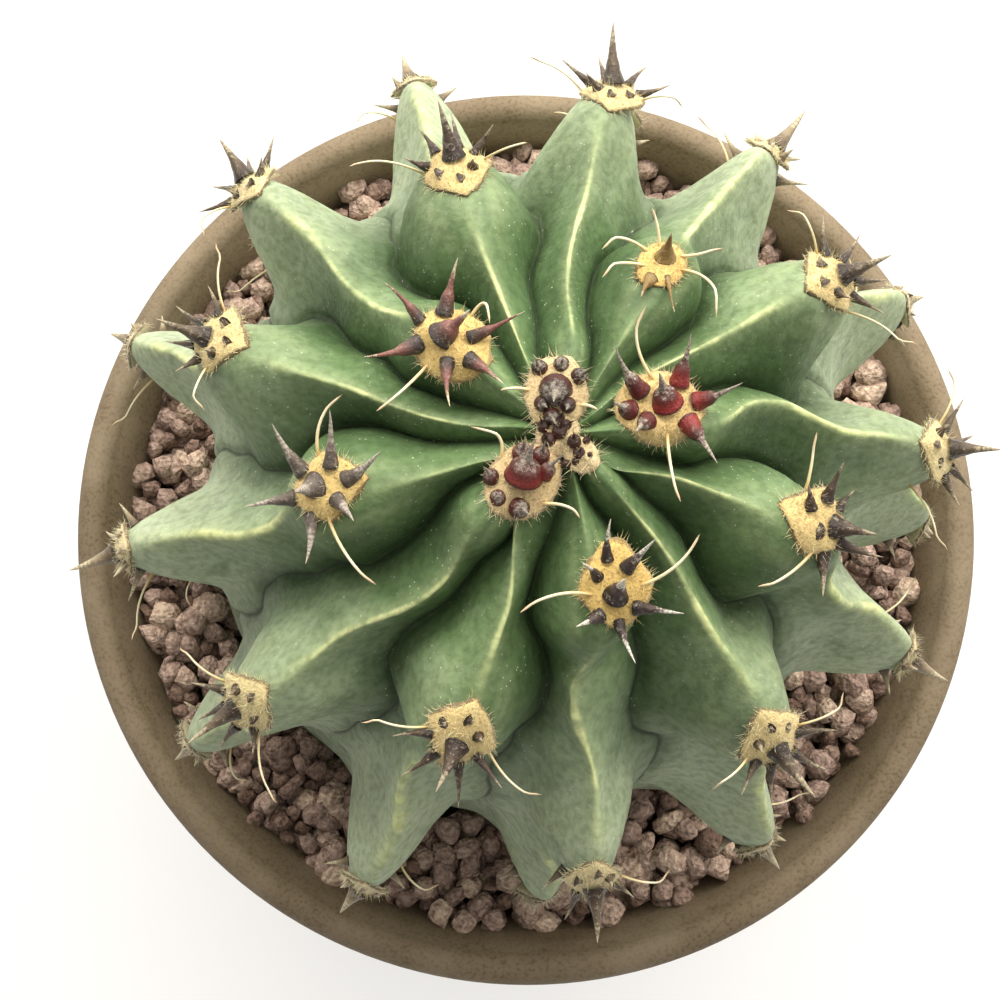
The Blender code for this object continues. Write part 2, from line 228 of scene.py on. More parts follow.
def soil_material():
    """Damp peat: almost black crumbs a few millimetres across, with paler bark between them."""
    made, tree, place = new_material("potting_soil")
    crumbs = {"Vector": place, "Scale": 420.0}
    crumbs = add(tree, "ShaderNodeTexVoronoi", crumbs).outputs["Distance"]
    fibres = add(tree, "ShaderNodeTexNoise", {"Vector": place, "Scale": 900.0, "Detail": 6.0})
    tone = add(tree, "ShaderNodeMath", {0: crumbs, 1: fibres}, operation="MULTIPLY")
    stops = ((0.05, "#1d150f"), (0.3, "#3a2b1f"), (0.6, "#6a513a"))
    colour = add(tree, "ShaderNodeValToRGB", {"Fac": tone}, stops).outputs["Color"]
    return surfaced(made, crumbs, 0.0012, 1.0, Base_Color=colour, Roughness=0.95)


def cork_material():
    """Old root skin: brown cork in thin plates that split along the root."""
    made, tree, place = new_material("root_cork")
    stretched = add(tree, "ShaderNodeMapping", {"Vector": place, "Scale": (1.0, 1.0, 0.25)})
    plates = {"Vector": stretched, "Scale": 260.0}
    plates = add(tree, "ShaderNodeTexVoronoi", plates, feature="DISTANCE_TO_EDGE")
    stops = ((0.0, "#3b2a1c"), (0.12, "#7c6145"), (0.5, "#947a5a"))
    colour = add(tree, "ShaderNodeValToRGB", {"Fac": plates}, stops).outputs["Color"]
    return surfaced(made, plates, 0.0008, 1.0, Base_Color=colour, Roughness=0.9)


for node_name, finish in (("soil", soil_material()), ("root_crown", cork_material())):
    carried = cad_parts[node_name]
    carried.data.materials.clear()
    carried.data.materials.append(finish)

# ---------------------------------------------------------------------------------------------
# The stem: one living barrel of thirteen ribs. The same growth rule as in the CAD model gives
# every point of its skin, drawn here by Geometry Nodes at a much finer pitch and with the folds,
# kinks and dents that the plain solid leaves out. It replaces that solid.
# ---------------------------------------------------------------------------------------------

rib_count = 13
crown_radius = 0.0765
crown_half_height = 0.065
crown_centre = 0.030
stem_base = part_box("stem")[0].z - rim_top
stem_offset = (-0.0024, 0.0023)
stem_lean = (0.060, 0.005)
crown_shift = (0.0008, -0.0022)
crown_shift_start = 0.075
first_rib_deg = 115.9
twist_deg = -5.5
furrow_depth = 0.0205
growth_step = 0.0703
growth_start = 0.2176
growth_power = 0.9602
crown_crowding = 0.045
areole_count = 34
notch_share = 0.45
crest_rounding = 0.06
crease_depth = 0.0012
dent_height = 0.0011
stem_rows = 182
stem_base_rows = 4
rib_columns = 40
base_angle = math.acos((stem_base - crown_centre) / crown_half_height)

# What sets one rib apart: sideways drift in degrees, growth, reach past the ellipsoid in metres,
# and how far its crest swings aside between two areoles, in metres.
rib_drift = (-2, -3.5, -0.5, 1.5, 1, 5, 2.5, 1, 1.5, 0, -1, -3, -1.5)
rib_lead = (0.02, 0, -0.03, 0.015, -0.02, 0.065, 0.005, -0.035, 0.015, -0.02, 0.005, 0, -0.005)
rib_reach = (0, 0, -0.003, 0, 0, -0.003, 0, 0, 0, 0, -0.002, 0, 0)
rib_kink = (
    0.0005, 0.0015, -0.0006, 0.001, 0.0042, -0.0045, 0.001, -0.0038, -0.0042, 0.004, 0.0026, 0.0014,
    0.0024,
)


def new_tree(name, inputs, outputs):
    """A Geometry Nodes tree, and its sockets by name: what comes in, and where results go."""
    tree = bpy.data.node_groups.new(name, "GeometryNodeTree")
    for way, sockets in (("INPUT", inputs), ("OUTPUT", outputs)):
        for kind, labels in sockets.items():
            for label in labels.split():
                tree.interface.new_socket(label, in_out=way, socket_type="NodeSocket" + kind)
    given = tree.nodes.new("NodeGroupInput").outputs
    result = tree.nodes.new("NodeGroupOutput").inputs
    named = ({item.name: item for item in sockets if item.name} for sockets in (given, result))
    return tree, *named


def formulas(tree, text, **terms):
    """Writes lines of name = formula into a tree as Math nodes, and returns all terms by name.

    The terms are sockets or numbers. smooth(x, low, high) is a smooth step.
    """
    signs = {ast.Add: "ADD", ast.Sub: "SUBTRACT", ast.Mult: "MULTIPLY", ast.Div: "DIVIDE"}
    signs.update({ast.Pow: "POWER", ast.Mod: "FLOORED_MODULO"})
    calls = {"sin": "SINE", "cos": "COSINE", "exp": "EXPONENT", "floor": "FLOOR", "abs": "ABSOLUTE"}
    calls.update({"sqrt": "SQRT", "min": "MINIMUM", "max": "MAXIMUM", "less": "LESS_THAN"})

    def write(part):
        if isinstance(part, ast.Constant):
            return float(part.value)
        if isinstance(part, ast.Name):
            return terms[part.id]
        if isinstance(part, ast.UnaryOp):
            return calculate("MULTIPLY", write(part.operand), -1.0)
        if isinstance(part, ast.BinOp):
            return calculate(signs[type(part.op)], write(part.left), write(part.right))
        values = [write(value) for value in part.args]
        if part.func.id == "smooth":
            limits = {"Value": values[0], "From Min": values[1], "From Max": values[2]}
            step = add(tree, "ShaderNodeMapRange", limits, interpolation_type="SMOOTHSTEP")
            return step.outputs[0]
        return calculate(calls[part.func.id], *values)

    def calculate(operation, *values):
        return add(tree, "ShaderNodeMath", dict(enumerate(values)), operation=operation).outputs[0]

    for line in ast.parse(dedent(text)).body:
        terms[line.targets[0].id] = write(line.value)
    return SimpleNamespace(**terms)


def rib_rule():
    """Where a rib's crest runs at an angle down from the crown, and where it swells and dips."""
    outputs = {"Float": "azimuth knob notch swing reach lead"}
    tree, given, result = new_tree("rib_rule", {"Float": "rib angle"}, outputs)
    own = formulas(tree, "own = rib % count", **given, count=rib_count)
    tables = {"drift": rib_drift, "lead": rib_lead, "reach": rib_reach, "kink": rib_kink}
    for name, values in tables.items():
        table = add(tree, "GeometryNodeIndexSwitch", data_type="FLOAT")
        while len(table.index_switch_items) < rib_count:
            table.index_switch_items.new()
        tree.links.new(own.own, table.inputs[0])
        for place, value in enumerate(values):
            table.inputs[place + 1].default_value = value
        tables[name] = table.outputs[0]
    made = formulas(
        tree,
        """
        azimuth = (first - rib * 360 / count + drift + twist * angle) * 3.14159265 / 180
        # Whole numbers at the rib's areoles. A jump of five ribs is undone by eight: 5 x 8 = 40.
        growth = (angle / (step * (1 + lead))) ** (1 / power)
        phase = (growth - start - (8 * (6 - own)) % count) / count
        offset = phase - floor(phase + 0.5)
        swell = smooth(offset, -0.30, -0.05) * (1 - smooth(offset, 0.07, 0.23))
        knob = swell * (1 - less(phase, -0.5))
        along = phase - floor(phase)
        notch = smooth(along, 0.06, 0.28) * (1 - smooth(along, 0.45, 0.97))
        swing = smooth(along, 0.08, 0.32) * (1 - smooth(along, 0.36, 0.66)) * kink
        """,
        **vars(own), **tables, first=first_rib_deg, twist=twist_deg, step=growth_step,
        power=growth_power, start=growth_start,
    )
    for name, socket in result.items():
        tree.links.new(getattr(made, name), socket)
    return tree


def skin_rule(ribs):
    """A point of the skin: across runs from -1 in one furrow, over the crest at 0, to 1."""
    outputs = {"Vector": "position", "Float": "knob notch rise"}
    tree, given, result = new_tree("skin_rule", {"Float": "rib across angle"}, outputs)
    beside = formulas(tree, "rib = rib + (1 - 2 * less(across, 0))", **given).rib
    own, other = (
        add(tree, "GeometryNodeGroup", {"rib": rib, "angle": given["angle"]}, node_tree=ribs).outputs
        for rib in (given["rib"], beside)
    )
    made = formulas(
        tree,
        """
        a = abs(across)
        outward = smooth(angle, 0.4, 1.4)
        share = 0.5 + (0.2 - 0.17 * outward) * (knob - other_knob)
        radius = crown * sin(angle)
        azimuth = azimuth + (other_azimuth - azimuth) * share * a
        azimuth = azimuth + swing * (1 - a) / max(radius, 0.01)
        finger = max(1 - a ** 2.1, 0) ** (0.85 + 4.9 * outward)
        # The crest between two swellings is a fold: sharp from afar, but round at the very top.
        soft = (sqrt(a * a + round * round) - round) / (sqrt(1 + round * round) - round)
        ridge = max(1 - 0.7 * soft - 0.3 * soft ** 1.6, 0) ** (1.05 + 2.2 * outward)
        rise = ridge + (finger - ridge) * knob
        depth = depth * (1 - exp(-angle / 0.45)) * (1 - 0.93 * smooth(angle, 1.75, 2.35))
        pinch = exp(-(((1 - a) / 0.07) ** 2)) * smooth(angle, 0.1, 0.4)
        pinch = pinch * (1 - smooth(angle, 1.5, 2.2))
        cut = depth * (1 - rise * (1 - dip * notch)) + crease * pinch
        slope = sqrt((sin(angle) / crown) ** 2 + (cos(angle) / half) ** 2)
        reach = reach * rise * smooth(angle, 0.8, 1.3)
        out = max(radius - cut * sin(angle) / crown / slope + reach, 0)
        level = centre + half * cos(angle) - cut * cos(angle) / half / slope
        shift = smooth(level, shift_start, top)
        x = offset_x + lean_x * level + shift_x * shift + out * cos(azimuth)
        y = offset_y + lean_y * level + shift_y * shift + out * sin(azimuth)
        z = level + rim
        """,
        **given, **{name: own[name] for name in ("azimuth", "knob", "notch", "swing", "reach")},
        other_knob=other["knob"], other_azimuth=other["azimuth"], crown=crown_radius,
        half=crown_half_height, centre=crown_centre, top=crown_centre + crown_half_height,
        depth=furrow_depth, dip=notch_share, crease=crease_depth, round=crest_rounding,
        shift_start=crown_shift_start, shift_x=crown_shift[0], shift_y=crown_shift[1],
        offset_x=stem_offset[0], offset_y=stem_offset[1], lean_x=stem_lean[0], lean_y=stem_lean[1],
        rim=rim_top,
    )
    place = {"X": made.x, "Y": made.y, "Z": made.z}
    made.position = add(tree, "ShaderNodeCombineXYZ", place).outputs[0]
    for name, socket in result.items():
        tree.links.new(getattr(made, name), socket)
    return tree


def store(tree, geometry, **values):
    """Keeps values on the points of a geometry, under their own names."""
    for name, value in values.items():
        vector = getattr(value, "type", "") == "VECTOR"
        inputs = {"Geometry": geometry, "Name": name, "Value": value}
        kind = "FLOAT_VECTOR" if vector else "FLOAT"
        geometry = add(tree, "GeometryNodeStoreNamedAttribute", inputs, data_type=kind)
    return geometry


def recall(tree, floats="", vectors=""):
    """The sockets of values that were stored on points, by name."""
    found = {}
    for kind, names in (("FLOAT", floats), ("FLOAT_VECTOR", vectors)):
        for name in names.split():
            node = add(tree, "GeometryNodeInputNamedAttribute", {"Name": name}, data_type=kind)
            found[name] = node.outputs[0]
    return found


def finish_tree(tree, geometry, material, result):
    """Ends a tree: plain smooth geometry in one material."""
    geometry = add(tree, "GeometryNodeRealizeInstances", {"Geometry": geometry})
    geometry = add(tree, "GeometryNodeSetShadeSmooth", {"Geometry": geometry})
    geometry = add(tree, "GeometryNodeSetMaterial", {"Geometry": geometry, "Material": material})
    tree.links.new(geometry.outputs[0], result["Geometry"])
    return tree


def grown(name, tree, values, points=None):
    """Runs a tree on points or on nothing, its inputs set by name, and keeps a plain mesh."""
    obj = bpy.data.objects.new(name, points or bpy.data.meshes.new(name))
    bpy.context.scene.collection.objects.link(obj)
    modifier = obj.modifiers.new(name, "NODES")
    modifier.node_group = tree
    for item in tree.interface.items_tree:
        if item.in_out == "INPUT" and item.name in values:
            modifier[item.identifier] = values[item.name]
    graph = bpy.context.evaluated_depsgraph_get()
    obj.data = bpy.data.meshes.new_from_object(
        obj.evaluated_get(graph), preserve_all_data_layers=True, depsgraph=graph
    )
    obj.modifiers.clear()
    return obj


def stem_tree(skin, material):
    """A grid of points laid over the skin, its seam and pole merged, then dented."""
    inputs = {"Int": "columns_per_rib rows base_rows", "Float": "dent_height"}
    tree, given, result = new_tree("stem", inputs, {"Geometry": "Geometry"})
    grid = add(tree, "GeometryNodeMeshGrid", {"Size X": 1.0, "Size Y": 1.0})
    spot = add(tree, "ShaderNodeSeparateXYZ", {0: add(tree, "GeometryNodeInputPosition")}).outputs
    made = formulas(
        tree,
        """
        columns = columns_per_rib * count
        all_rows = rows + base_rows
        column_points = columns + 1
        row_points = all_rows + 1
        row = floor((y + 0.5) * all_rows + 0.5)
        turn = floor((x + 0.5) * columns + 0.5) / columns_per_rib
        rib = min(floor(turn), last)
        across = 2 * (turn - rib) - 1
        apart = abs(across)
        angle = end * min(row / rows, 1)
        # The last rows close the flat base, under the grit.
        inward = max(row - rows, 0) / base_rows
        """,
        **given, x=spot["X"], y=spot["Y"], count=rib_count, last=rib_count - 1, end=base_angle,
    )
    tree.links.new(made.column_points, grid.inputs["Vertices X"])
    tree.links.new(made.row_points, grid.inputs["Vertices Y"])
    surface = {"rib": made.rib, "across": made.across, "angle": made.angle}
    surface = add(tree, "GeometryNodeGroup", surface, node_tree=skin).outputs
    middle = [stem_offset[axis] + stem_lean[axis] * stem_base for axis in (0, 1)]
    spread = {0: made.inward, 4: surface["position"], 5: (*middle, stem_base + rim_top)}
    spread = add(tree, "ShaderNodeMix", spread, data_type="VECTOR")
    geometry = store(
        tree, grid.outputs["Mesh"], across=made.apart, knob=surface["knob"], notch=surface["notch"],
        rise=surface["rise"], angle=made.angle,
    )
    geometry = add(tree, "GeometryNodeSetPosition", {"Geometry": geometry, "Position": spread})
    geometry = add(tree, "GeometryNodeMergeByDistance", {"Geometry": geometry, "Distance": 0.00002})
    # Dents and folds: broad on the outer flanks, where old tissue has shrunk between waterings.
    position = add(tree, "GeometryNodeInputPosition")
    lift = formulas(
        tree,
        """
        dents = (broad - 0.5) * 2 * smooth(angle, 0.2, 1.0) + (fine - 0.5) * 0.35
        bare = (1 - knob * smooth(0.45 - across, 0, 0.3)) * (1 - smooth(angle, 2.2, 2.4))
        lift = dent_height * dents * bare
        """,
        **given, **recall(tree, "angle knob across"),
        broad=add(tree, "ShaderNodeTexNoise", {"Vector": position, "Scale": 62.0, "Detail": 2.0}),
        fine=add(tree, "ShaderNodeTexNoise", {"Vector": position, "Scale": 210.0, "Detail": 3.0}),
    ).lift
    offset = {0: add(tree, "GeometryNodeInputNormal"), 1: lift}
    offset = add(tree, "ShaderNodeVectorMath", offset, operation="MULTIPLY")
    geometry = add(tree, "GeometryNodeSetPosition", {"Geometry": geometry, "Offset": offset})
    return finish_tree(tree, geometry, material, result)


def cactus_skin_material():
    """Living epidermis: green under a pale waxy bloom that is rubbed off on the young inner ribs.

    The crests carry a pale yellow line between areoles, with a painted highlight at its kinks;
    the furrows are painted dark with shade, and white pores dot the skin. The wax makes it
    satin, never glossy.
    """
    made, tree, place = new_material("cactus_skin")
    stored = {
        name: add(tree, "ShaderNodeAttribute", attribute_name=name).outputs["Fac"]
        for name in ("across", "knob", "notch", "angle", "rise")
    }
    squeezed = add(tree, "ShaderNodeMapping", {"Vector": place, "Scale": (1.0, 1.0, 0.6)})
    clouds, streaks, patch, fleck, grain = (
        add(
            tree, "ShaderNodeTexNoise",
            {"Vector": vector, "Scale": scale, "Detail": detail, "Distortion": distortion},
        )
        for vector, scale, detail, distortion in (
            (place, 55.0, 4.0, 0.0), (squeezed, 170.0, 5.0, 0.6), (place, 95.0, 5.0, 1.2),
            (place, 700.0, 4.0, 0.0), (place, 1300.0, 3.0, 0.0),
        )
    )
    shares = formulas(
        tree,
        # Painted shade: the skin is painted dark low in the furrows, and darkest of all in the
        # crease at the very bottom.
        # The pale line on the crest is the crest's own colour, with a painted highlight where the
        # crest kinks down between swellings: broad where the crest dips and gone on the swellings.
        # The whole crest is paler than the flanks, and the pale ring on the shoulders of a swelling
        # is a painted highlight along its outline.
        """
        # Bloom: a grey-green wax, thick on the outer half of the plant and on exposed shoulders.
        bloom = smooth(angle, 0.35, 1.35) * 0.85 + (clouds - 0.5) * 0.65 + (streaks - 0.5) * 0.4
        bloom = bloom + rise * 0.12
        # Pale worn patches on the exposed outer flanks, where handling has rubbed the wax thin.
        worn = smooth(patch, 0.5, 0.72) * smooth(angle, 0.5, 1.4) * 0.45
        dull = smooth(0.48 - patch, 0, 0.18) * 0.35
        # The whole crest is paler than the flanks, and so are the shoulders of a swelling.
        band = (1 - smooth(across, 0.02, 0.36)) * (0.34 - 0.2 * knob) * smooth(angle, 0.05, 0.3)
        band = band + smooth(across, 0.2, 0.36) * (1 - smooth(across, 0.36, 0.6)) * knob * 0.3
        # Deep in the furrows the bloom never forms and the skin stays dark.
        deep = smooth(across, 0.5, 1.0) * 0.6 * (1 - 0.6 * smooth(angle, 0.8, 1.6))
        crease = smooth(across, 0.95, 1.0) * 0.7 * (1 - smooth(angle, 1.4, 1.9))
        # The pale line on the crest, broad where the crest dips and gone on the swellings.
        wander = across + (streaks - 0.5) * 0.10
        line = (1 - smooth(wander, 0.015, 0.10)) * (1 - knob) * (0.12 + 0.75 * notch)
        line = line * (0.35 + 1.1 * smooth(patch, 0.4, 0.6))
        line = line * smooth(angle, 0.08, 0.3) * (1 - 0.5 * smooth(angle, 1.2, 1.8))
        relief = clouds * 0.35 + streaks * 0.40 + grain * 0.12
        """,
        **stored, clouds=clouds, streaks=streaks, patch=patch, grain=grain,
    )
    bloom = add(tree, "ShaderNodeValToRGB", {"Fac": shares.bloom}, ((0.12, 0.0), (0.85, 0.95)))
    # Pores: chalky dots a tenth of a millimetre across in life, drawn twice that so they show.
    pores = add(tree, "ShaderNodeTexVoronoi", {"Vector": place, "Scale": 900.0}).outputs["Distance"]
    dots = add(tree, "ShaderNodeValToRGB", {"Fac": pores}, ((0.08, 1.0), (0.14, 0.0)))
    dense = add(tree, "ShaderNodeValToRGB", {"Fac": streaks}, ((0.46, 0.1), (0.6, 0.75)))
    dots = add(tree, "ShaderNodeMath", {0: dots, 1: dense}, operation="MULTIPLY")
    skin = add(tree, "ShaderNodeValToRGB", {"Fac": clouds}, ((0.3, "#4b633f"), (0.7, "#668153")))
    # The dark furrow and crease colours are painted shade.
    for share, colour in (
        (bloom, "#a9b59b"), (shares.worn, "#a9b08c"), (shares.dull, "#4d6043"),
        # The band colour also paints the highlight on a swelling's shoulders.
        (shares.band, "#a0ad80"), (shares.deep, "#31462a"), (shares.crease, "#16200f"),
        # The crest line's colour carries a painted highlight at the kinks.
        (shares.line, "#c3ca94"), (dots, "#d9e0c6"),
    ):
        skin = add(tree, "ShaderNodeMix", {0: share, 6: skin, 7: colour}, data_type="RGBA")
    fleck = add(tree, "ShaderNodeValToRGB", {"Fac": fleck}, ((0.35, "#c2c6bd"), (0.6, "#ffffff")))
    flecked = {0: 0.6, 6: skin, 7: fleck}
    skin = add(tree, "ShaderNodeMix", flecked, data_type="RGBA", blend_type="MULTIPLY")
    rough = add(tree, "ShaderNodeMapRange", {"Value": bloom, "To Min": 0.56, "To Max": 0.8})
    return surfaced(
        made, shares.relief, 0.0012, 0.8, Base_Color=skin, Roughness=rough, IOR=1.4,
        Specular_IOR_Level=0.4, Subsurface_Weight=0.18, Subsurface_Radius=(0.5, 1.0, 0.25),
        Subsurface_Scale=0.0025,
    )


ribs = rib_rule()
skin_points = skin_rule(ribs)
stem_sizes = {"columns_per_rib": rib_columns, "rows": stem_rows, "base_rows": stem_base_rows}
stem_sizes["dent_height"] = dent_height
stem = grown("stem_skin", stem_tree(skin_points, cactus_skin_material()), stem_sizes)
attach(stem, "root")
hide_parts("stem")

# ---------------------------------------------------------------------------------------------
# The areoles: cushions of matted yellow wool, each grown on a swelling of its rib and draped over
# it, kite-shaped with a dark rim once the rib has stretched it. They stand in for all the areoles.
# ---------------------------------------------------------------------------------------------

pad_up = 0.0072
pad_down = 0.0064
pad_half_width = 0.0056
pad_thickness = 0.0009
pad_bend_radius = 0.011
pad_ray_start = 0.008
hair_count_per_square_metre = 3400000.0
hair_length = 0.00085
hair_thickness = 0.000055
hair_scatter = 0.75
hair_bow = 0.0003
tuft_offset = (-0.0040, 0.0036, 0.0)


def areole_frame_tree(skin, ribs):
    """One point for each areole, with its own axes: normal, downhill along the crest, sideways."""
    tree, given, result = new_tree("areole_frames", {"Int": "count"}, {"Geometry": "Geometry"})
    number = add(tree, "GeometryNodeInputIndex").outputs[0]
    rib = formulas(tree, "rib = (6 - 5 * number) % ribs", number=number, ribs=rib_count).rib
    made = formulas(
        tree,
        """
        angle = step * (number + start) ** power * (1 + lead) + crowding * exp(-number)
        above = angle - 0.02
        below = angle + 0.02
        # The seventh is a small dry ball of wool, whose spines stopped growing early.
        size = 0.42 + 0.58 * smooth(number, -1, 3) - 0.2 * smooth(number, 15, 20)
        size = size - 0.34 * less(abs(number - 6), 0.5) + 0.12 * less(abs(number - 1), 0.5)
        size = size - 0.07 * less(number, 0.5)
        """,
        step=growth_step, start=growth_start, power=growth_power, crowding=crown_crowding,
        number=number,
        lead=add(tree, "GeometryNodeGroup", {"rib": rib}, node_tree=ribs).outputs["lead"],
    )
    above, crest, below = (
        add(tree, "GeometryNodeGroup", {"rib": rib, "angle": angle}, node_tree=skin).outputs[0]
        for angle in (made.above, made.angle, made.below)
    )
    turn = add(tree, "GeometryNodeGroup", {"rib": rib, "angle": made.angle}, node_tree=ribs)
    normal = formulas(
        tree,
        """
        X = sin(angle) / radius * cos(turn)
        Y = sin(angle) / radius * sin(turn)
        Z = cos(angle) / half
        """,
        angle=made.angle, radius=crown_radius, half=crown_half_height, turn=turn.outputs["azimuth"],
    )
    normal = add(tree, "ShaderNodeCombineXYZ", {axis: getattr(normal, axis) for axis in "XYZ"})
    normal = add(tree, "ShaderNodeVectorMath", {0: normal}, operation="NORMALIZE").outputs[0]
    along = add(tree, "ShaderNodeVectorMath", {0: below, 1: above}, operation="SUBTRACT")
    sideways = add(tree, "ShaderNodeVectorMath", {0: normal, 1: along}, operation="CROSS_PRODUCT")
    sideways = add(tree, "ShaderNodeVectorMath", {0: sideways}, operation="NORMALIZE").outputs[0]
    downhill = {0: sideways, 1: normal}
    downhill = add(tree, "ShaderNodeVectorMath", downhill, operation="CROSS_PRODUCT").outputs[0]
    points = add(tree, "GeometryNodeMeshLine", {"Count": given["count"]})
    points = store(
        tree, points, normal=normal, sideways=sideways, downhill=downhill, size=made.size,
        number=number,
    )
    points = add(tree, "GeometryNodeSetPosition", {"Geometry": points, "Position": crest})
    tree.links.new(points.outputs[0], result["Geometry"])
    return tree


def pad_tree(stem_object, material):
    """A flat closed cushion on each point, cut to a kite, draped over the skin by a ray."""
    inputs = {"Geometry": "Geometry", "Float": "up down width thickness bend_radius"}
    tree, given, result = new_tree("areole_pads", inputs, {"Geometry": "Geometry"})
    points = store(tree, given["Geometry"], root=add(tree, "GeometryNodeInputPosition").outputs[0])
    ball = add(tree, "GeometryNodeMeshUVSphere", {"Segments": 32, "Rings": 12, "Radius": 1.0})
    ball = store(tree, ball.outputs["Mesh"], flat=add(tree, "GeometryNodeInputPosition").outputs[0])
    pads = add(tree, "GeometryNodeInstanceOnPoints", {"Points": points, "Instance": ball})
    pads = add(tree, "GeometryNodeRealizeInstances", {"Geometry": pads})
    stored = recall(tree, "number size", "flat root normal downhill sideways")
    flat = add(tree, "ShaderNodeSeparateXYZ", {0: stored["flat"]}).outputs
    uneven = {0: stored["root"], 1: (90.0, 90.0, 90.0), 2: stored["flat"]}
    uneven = add(tree, "ShaderNodeVectorMath", uneven, operation="MULTIPLY_ADD")
    made = formulas(
        tree,
        """
        edge = sqrt(x * x + y * y)
        # Round while young, and a kite once stretched: a superellipse's power falls from 2.
        power = 2 - 0.8 * smooth(number, 1.5, 7) + 0.8 * less(abs(number - 6), 0.5)
        cut = (abs(x) / max(edge, 0.001)) ** power + (abs(y) / max(edge, 0.001)) ** power
        outline = (1 + (wave - 0.5) * 0.35) * max(cut, 0.5) ** (-1 / power)
        downward = x * outline * size * (up + (down - up) * (1 - less(x, 0)))
        aside = y * outline * size * width
        bend = -(0.5 * downward * downward + aside * aside) / (2 * bend_radius)
        """,
        **given, number=stored["number"], size=stored["size"], x=flat["X"], y=flat["Y"],
        wave=add(tree, "ShaderNodeTexNoise", {"Vector": uneven, "Scale": 2.2, "Detail": 2.0}),
    )
    start = {0: stored["downhill"], 1: made.downward, 2: stored["root"]}
    start = add(tree, "ShaderNodeVectorMath", start, operation="MULTIPLY_ADD")
    start = {0: stored["sideways"], 1: made.aside, 2: start}
    start = add(tree, "ShaderNodeVectorMath", start, operation="MULTIPLY_ADD")
    above = {0: stored["normal"], 1: (pad_ray_start,) * 3, 2: start}
    above = add(tree, "ShaderNodeVectorMath", above, operation="MULTIPLY_ADD")
    inward = {0: stored["normal"], 1: (-1.0, -1.0, -1.0)}
    inward = add(tree, "ShaderNodeVectorMath", inward, operation="MULTIPLY")
    ray = {"Source Position": above, "Ray Direction": inward, "Ray Length": 2 * pad_ray_start}
    stem_mesh = add(tree, "GeometryNodeObjectInfo", {"Object": stem_object})
    ray["Target Geometry"] = stem_mesh.outputs["Geometry"]
    ray = add(tree, "GeometryNodeRaycast", ray).outputs
    puff = formulas(
        tree,
        """
        skin = max(bend - 0.0004, (ray_start - distance) * hit + bend * (1 - hit))
        wool = max(z, 0) ** 0.7 * thickness * (0.75 + 0.5 * wave) + min(z, 0) * 0.0012
        puff = skin + wool * (0.3 + 0.7 * size) + 0.0001
        """,
        **vars(made), distance=ray["Hit Distance"], hit=ray["Is Hit"], z=flat["Z"],
        ray_start=pad_ray_start,
    ).puff
    draped = {0: stored["normal"], 1: puff, 2: start}
    draped = add(tree, "ShaderNodeVectorMath", draped, operation="MULTIPLY_ADD")
    pads = store(tree, pads, edge=made.edge)
    pads = add(tree, "GeometryNodeSetPosition", {"Geometry": pads, "Position": draped})
    place = add(tree, "GeometryNodeInputPosition")
    matted = add(tree, "ShaderNodeTexNoise", {"Vector": place, "Scale": 900.0, "Detail": 2.0})
    lift = formulas(tree, "lift = (matted - 0.5) * 0.00025", matted=matted).lift
    lift = {0: add(tree, "GeometryNodeInputNormal"), 1: lift}
    lift = add(tree, "ShaderNodeVectorMath", lift, operation="MULTIPLY")
    pads = add(tree, "GeometryNodeSetPosition", {"Geometry": pads, "Offset": lift})
    return finish_tree(tree, pads, material, result)


def wool_colour(tree, number):
    """Wool by age: cream at the crown, mustard on the shoulder, bleached again far down."""
    age = formulas(tree, "age = number / 34", number=number).age
    stops = (
        (0.0, "#c8b68e"), (0.07, "#cab284"), (0.10, "#ccb273"), (0.16, "#cfb169"), (0.24, "#ccb67e"),
        (0.45, "#d2c290"), (0.75, "#c9bd9c"),
    )
    return add(tree, "ShaderNodeValToRGB", {"Fac": age}, stops)


def felt_material():
    """Matted wool: dull and fibrous, with a thin dark rim where it meets the skin."""
    made, tree, place = new_material("areole_felt")
    edge, number = (
        add(tree, "ShaderNodeAttribute", attribute_name=name).outputs["Fac"]
        for name in ("edge", "number")
    )
    fibres = add(tree, "ShaderNodeTexNoise", {"Vector": place, "Scale": 2400.0, "Detail": 4.0})
    shade = add(tree, "ShaderNodeValToRGB", {"Fac": fibres}, ((0.25, "#b3a68c"), (0.5, "#ffffff")))
    wool = {0: 0.8, 6: wool_colour(tree, number), 7: shade}
    wool = add(tree, "ShaderNodeMix", wool, data_type="RGBA", blend_type="MULTIPLY")
    rim = formulas(
        tree,
        """
        rim = smooth(edge + (fibres - 0.5) * 0.14, 0.93, 0.99)
        rim = rim * (0.45 + 0.4 * smooth(number, 3.5, 6))
        """,
        edge=edge, fibres=fibres, number=number,
    ).rim
    wool = add(tree, "ShaderNodeMix", {0: rim, 6: wool, 7: "#4b3a22"}, data_type="RGBA")
    return surfaced(made, fibres, 0.0004, 0.5, Base_Color=wool, Roughness=0.95, Sheen_Weight=0.25)


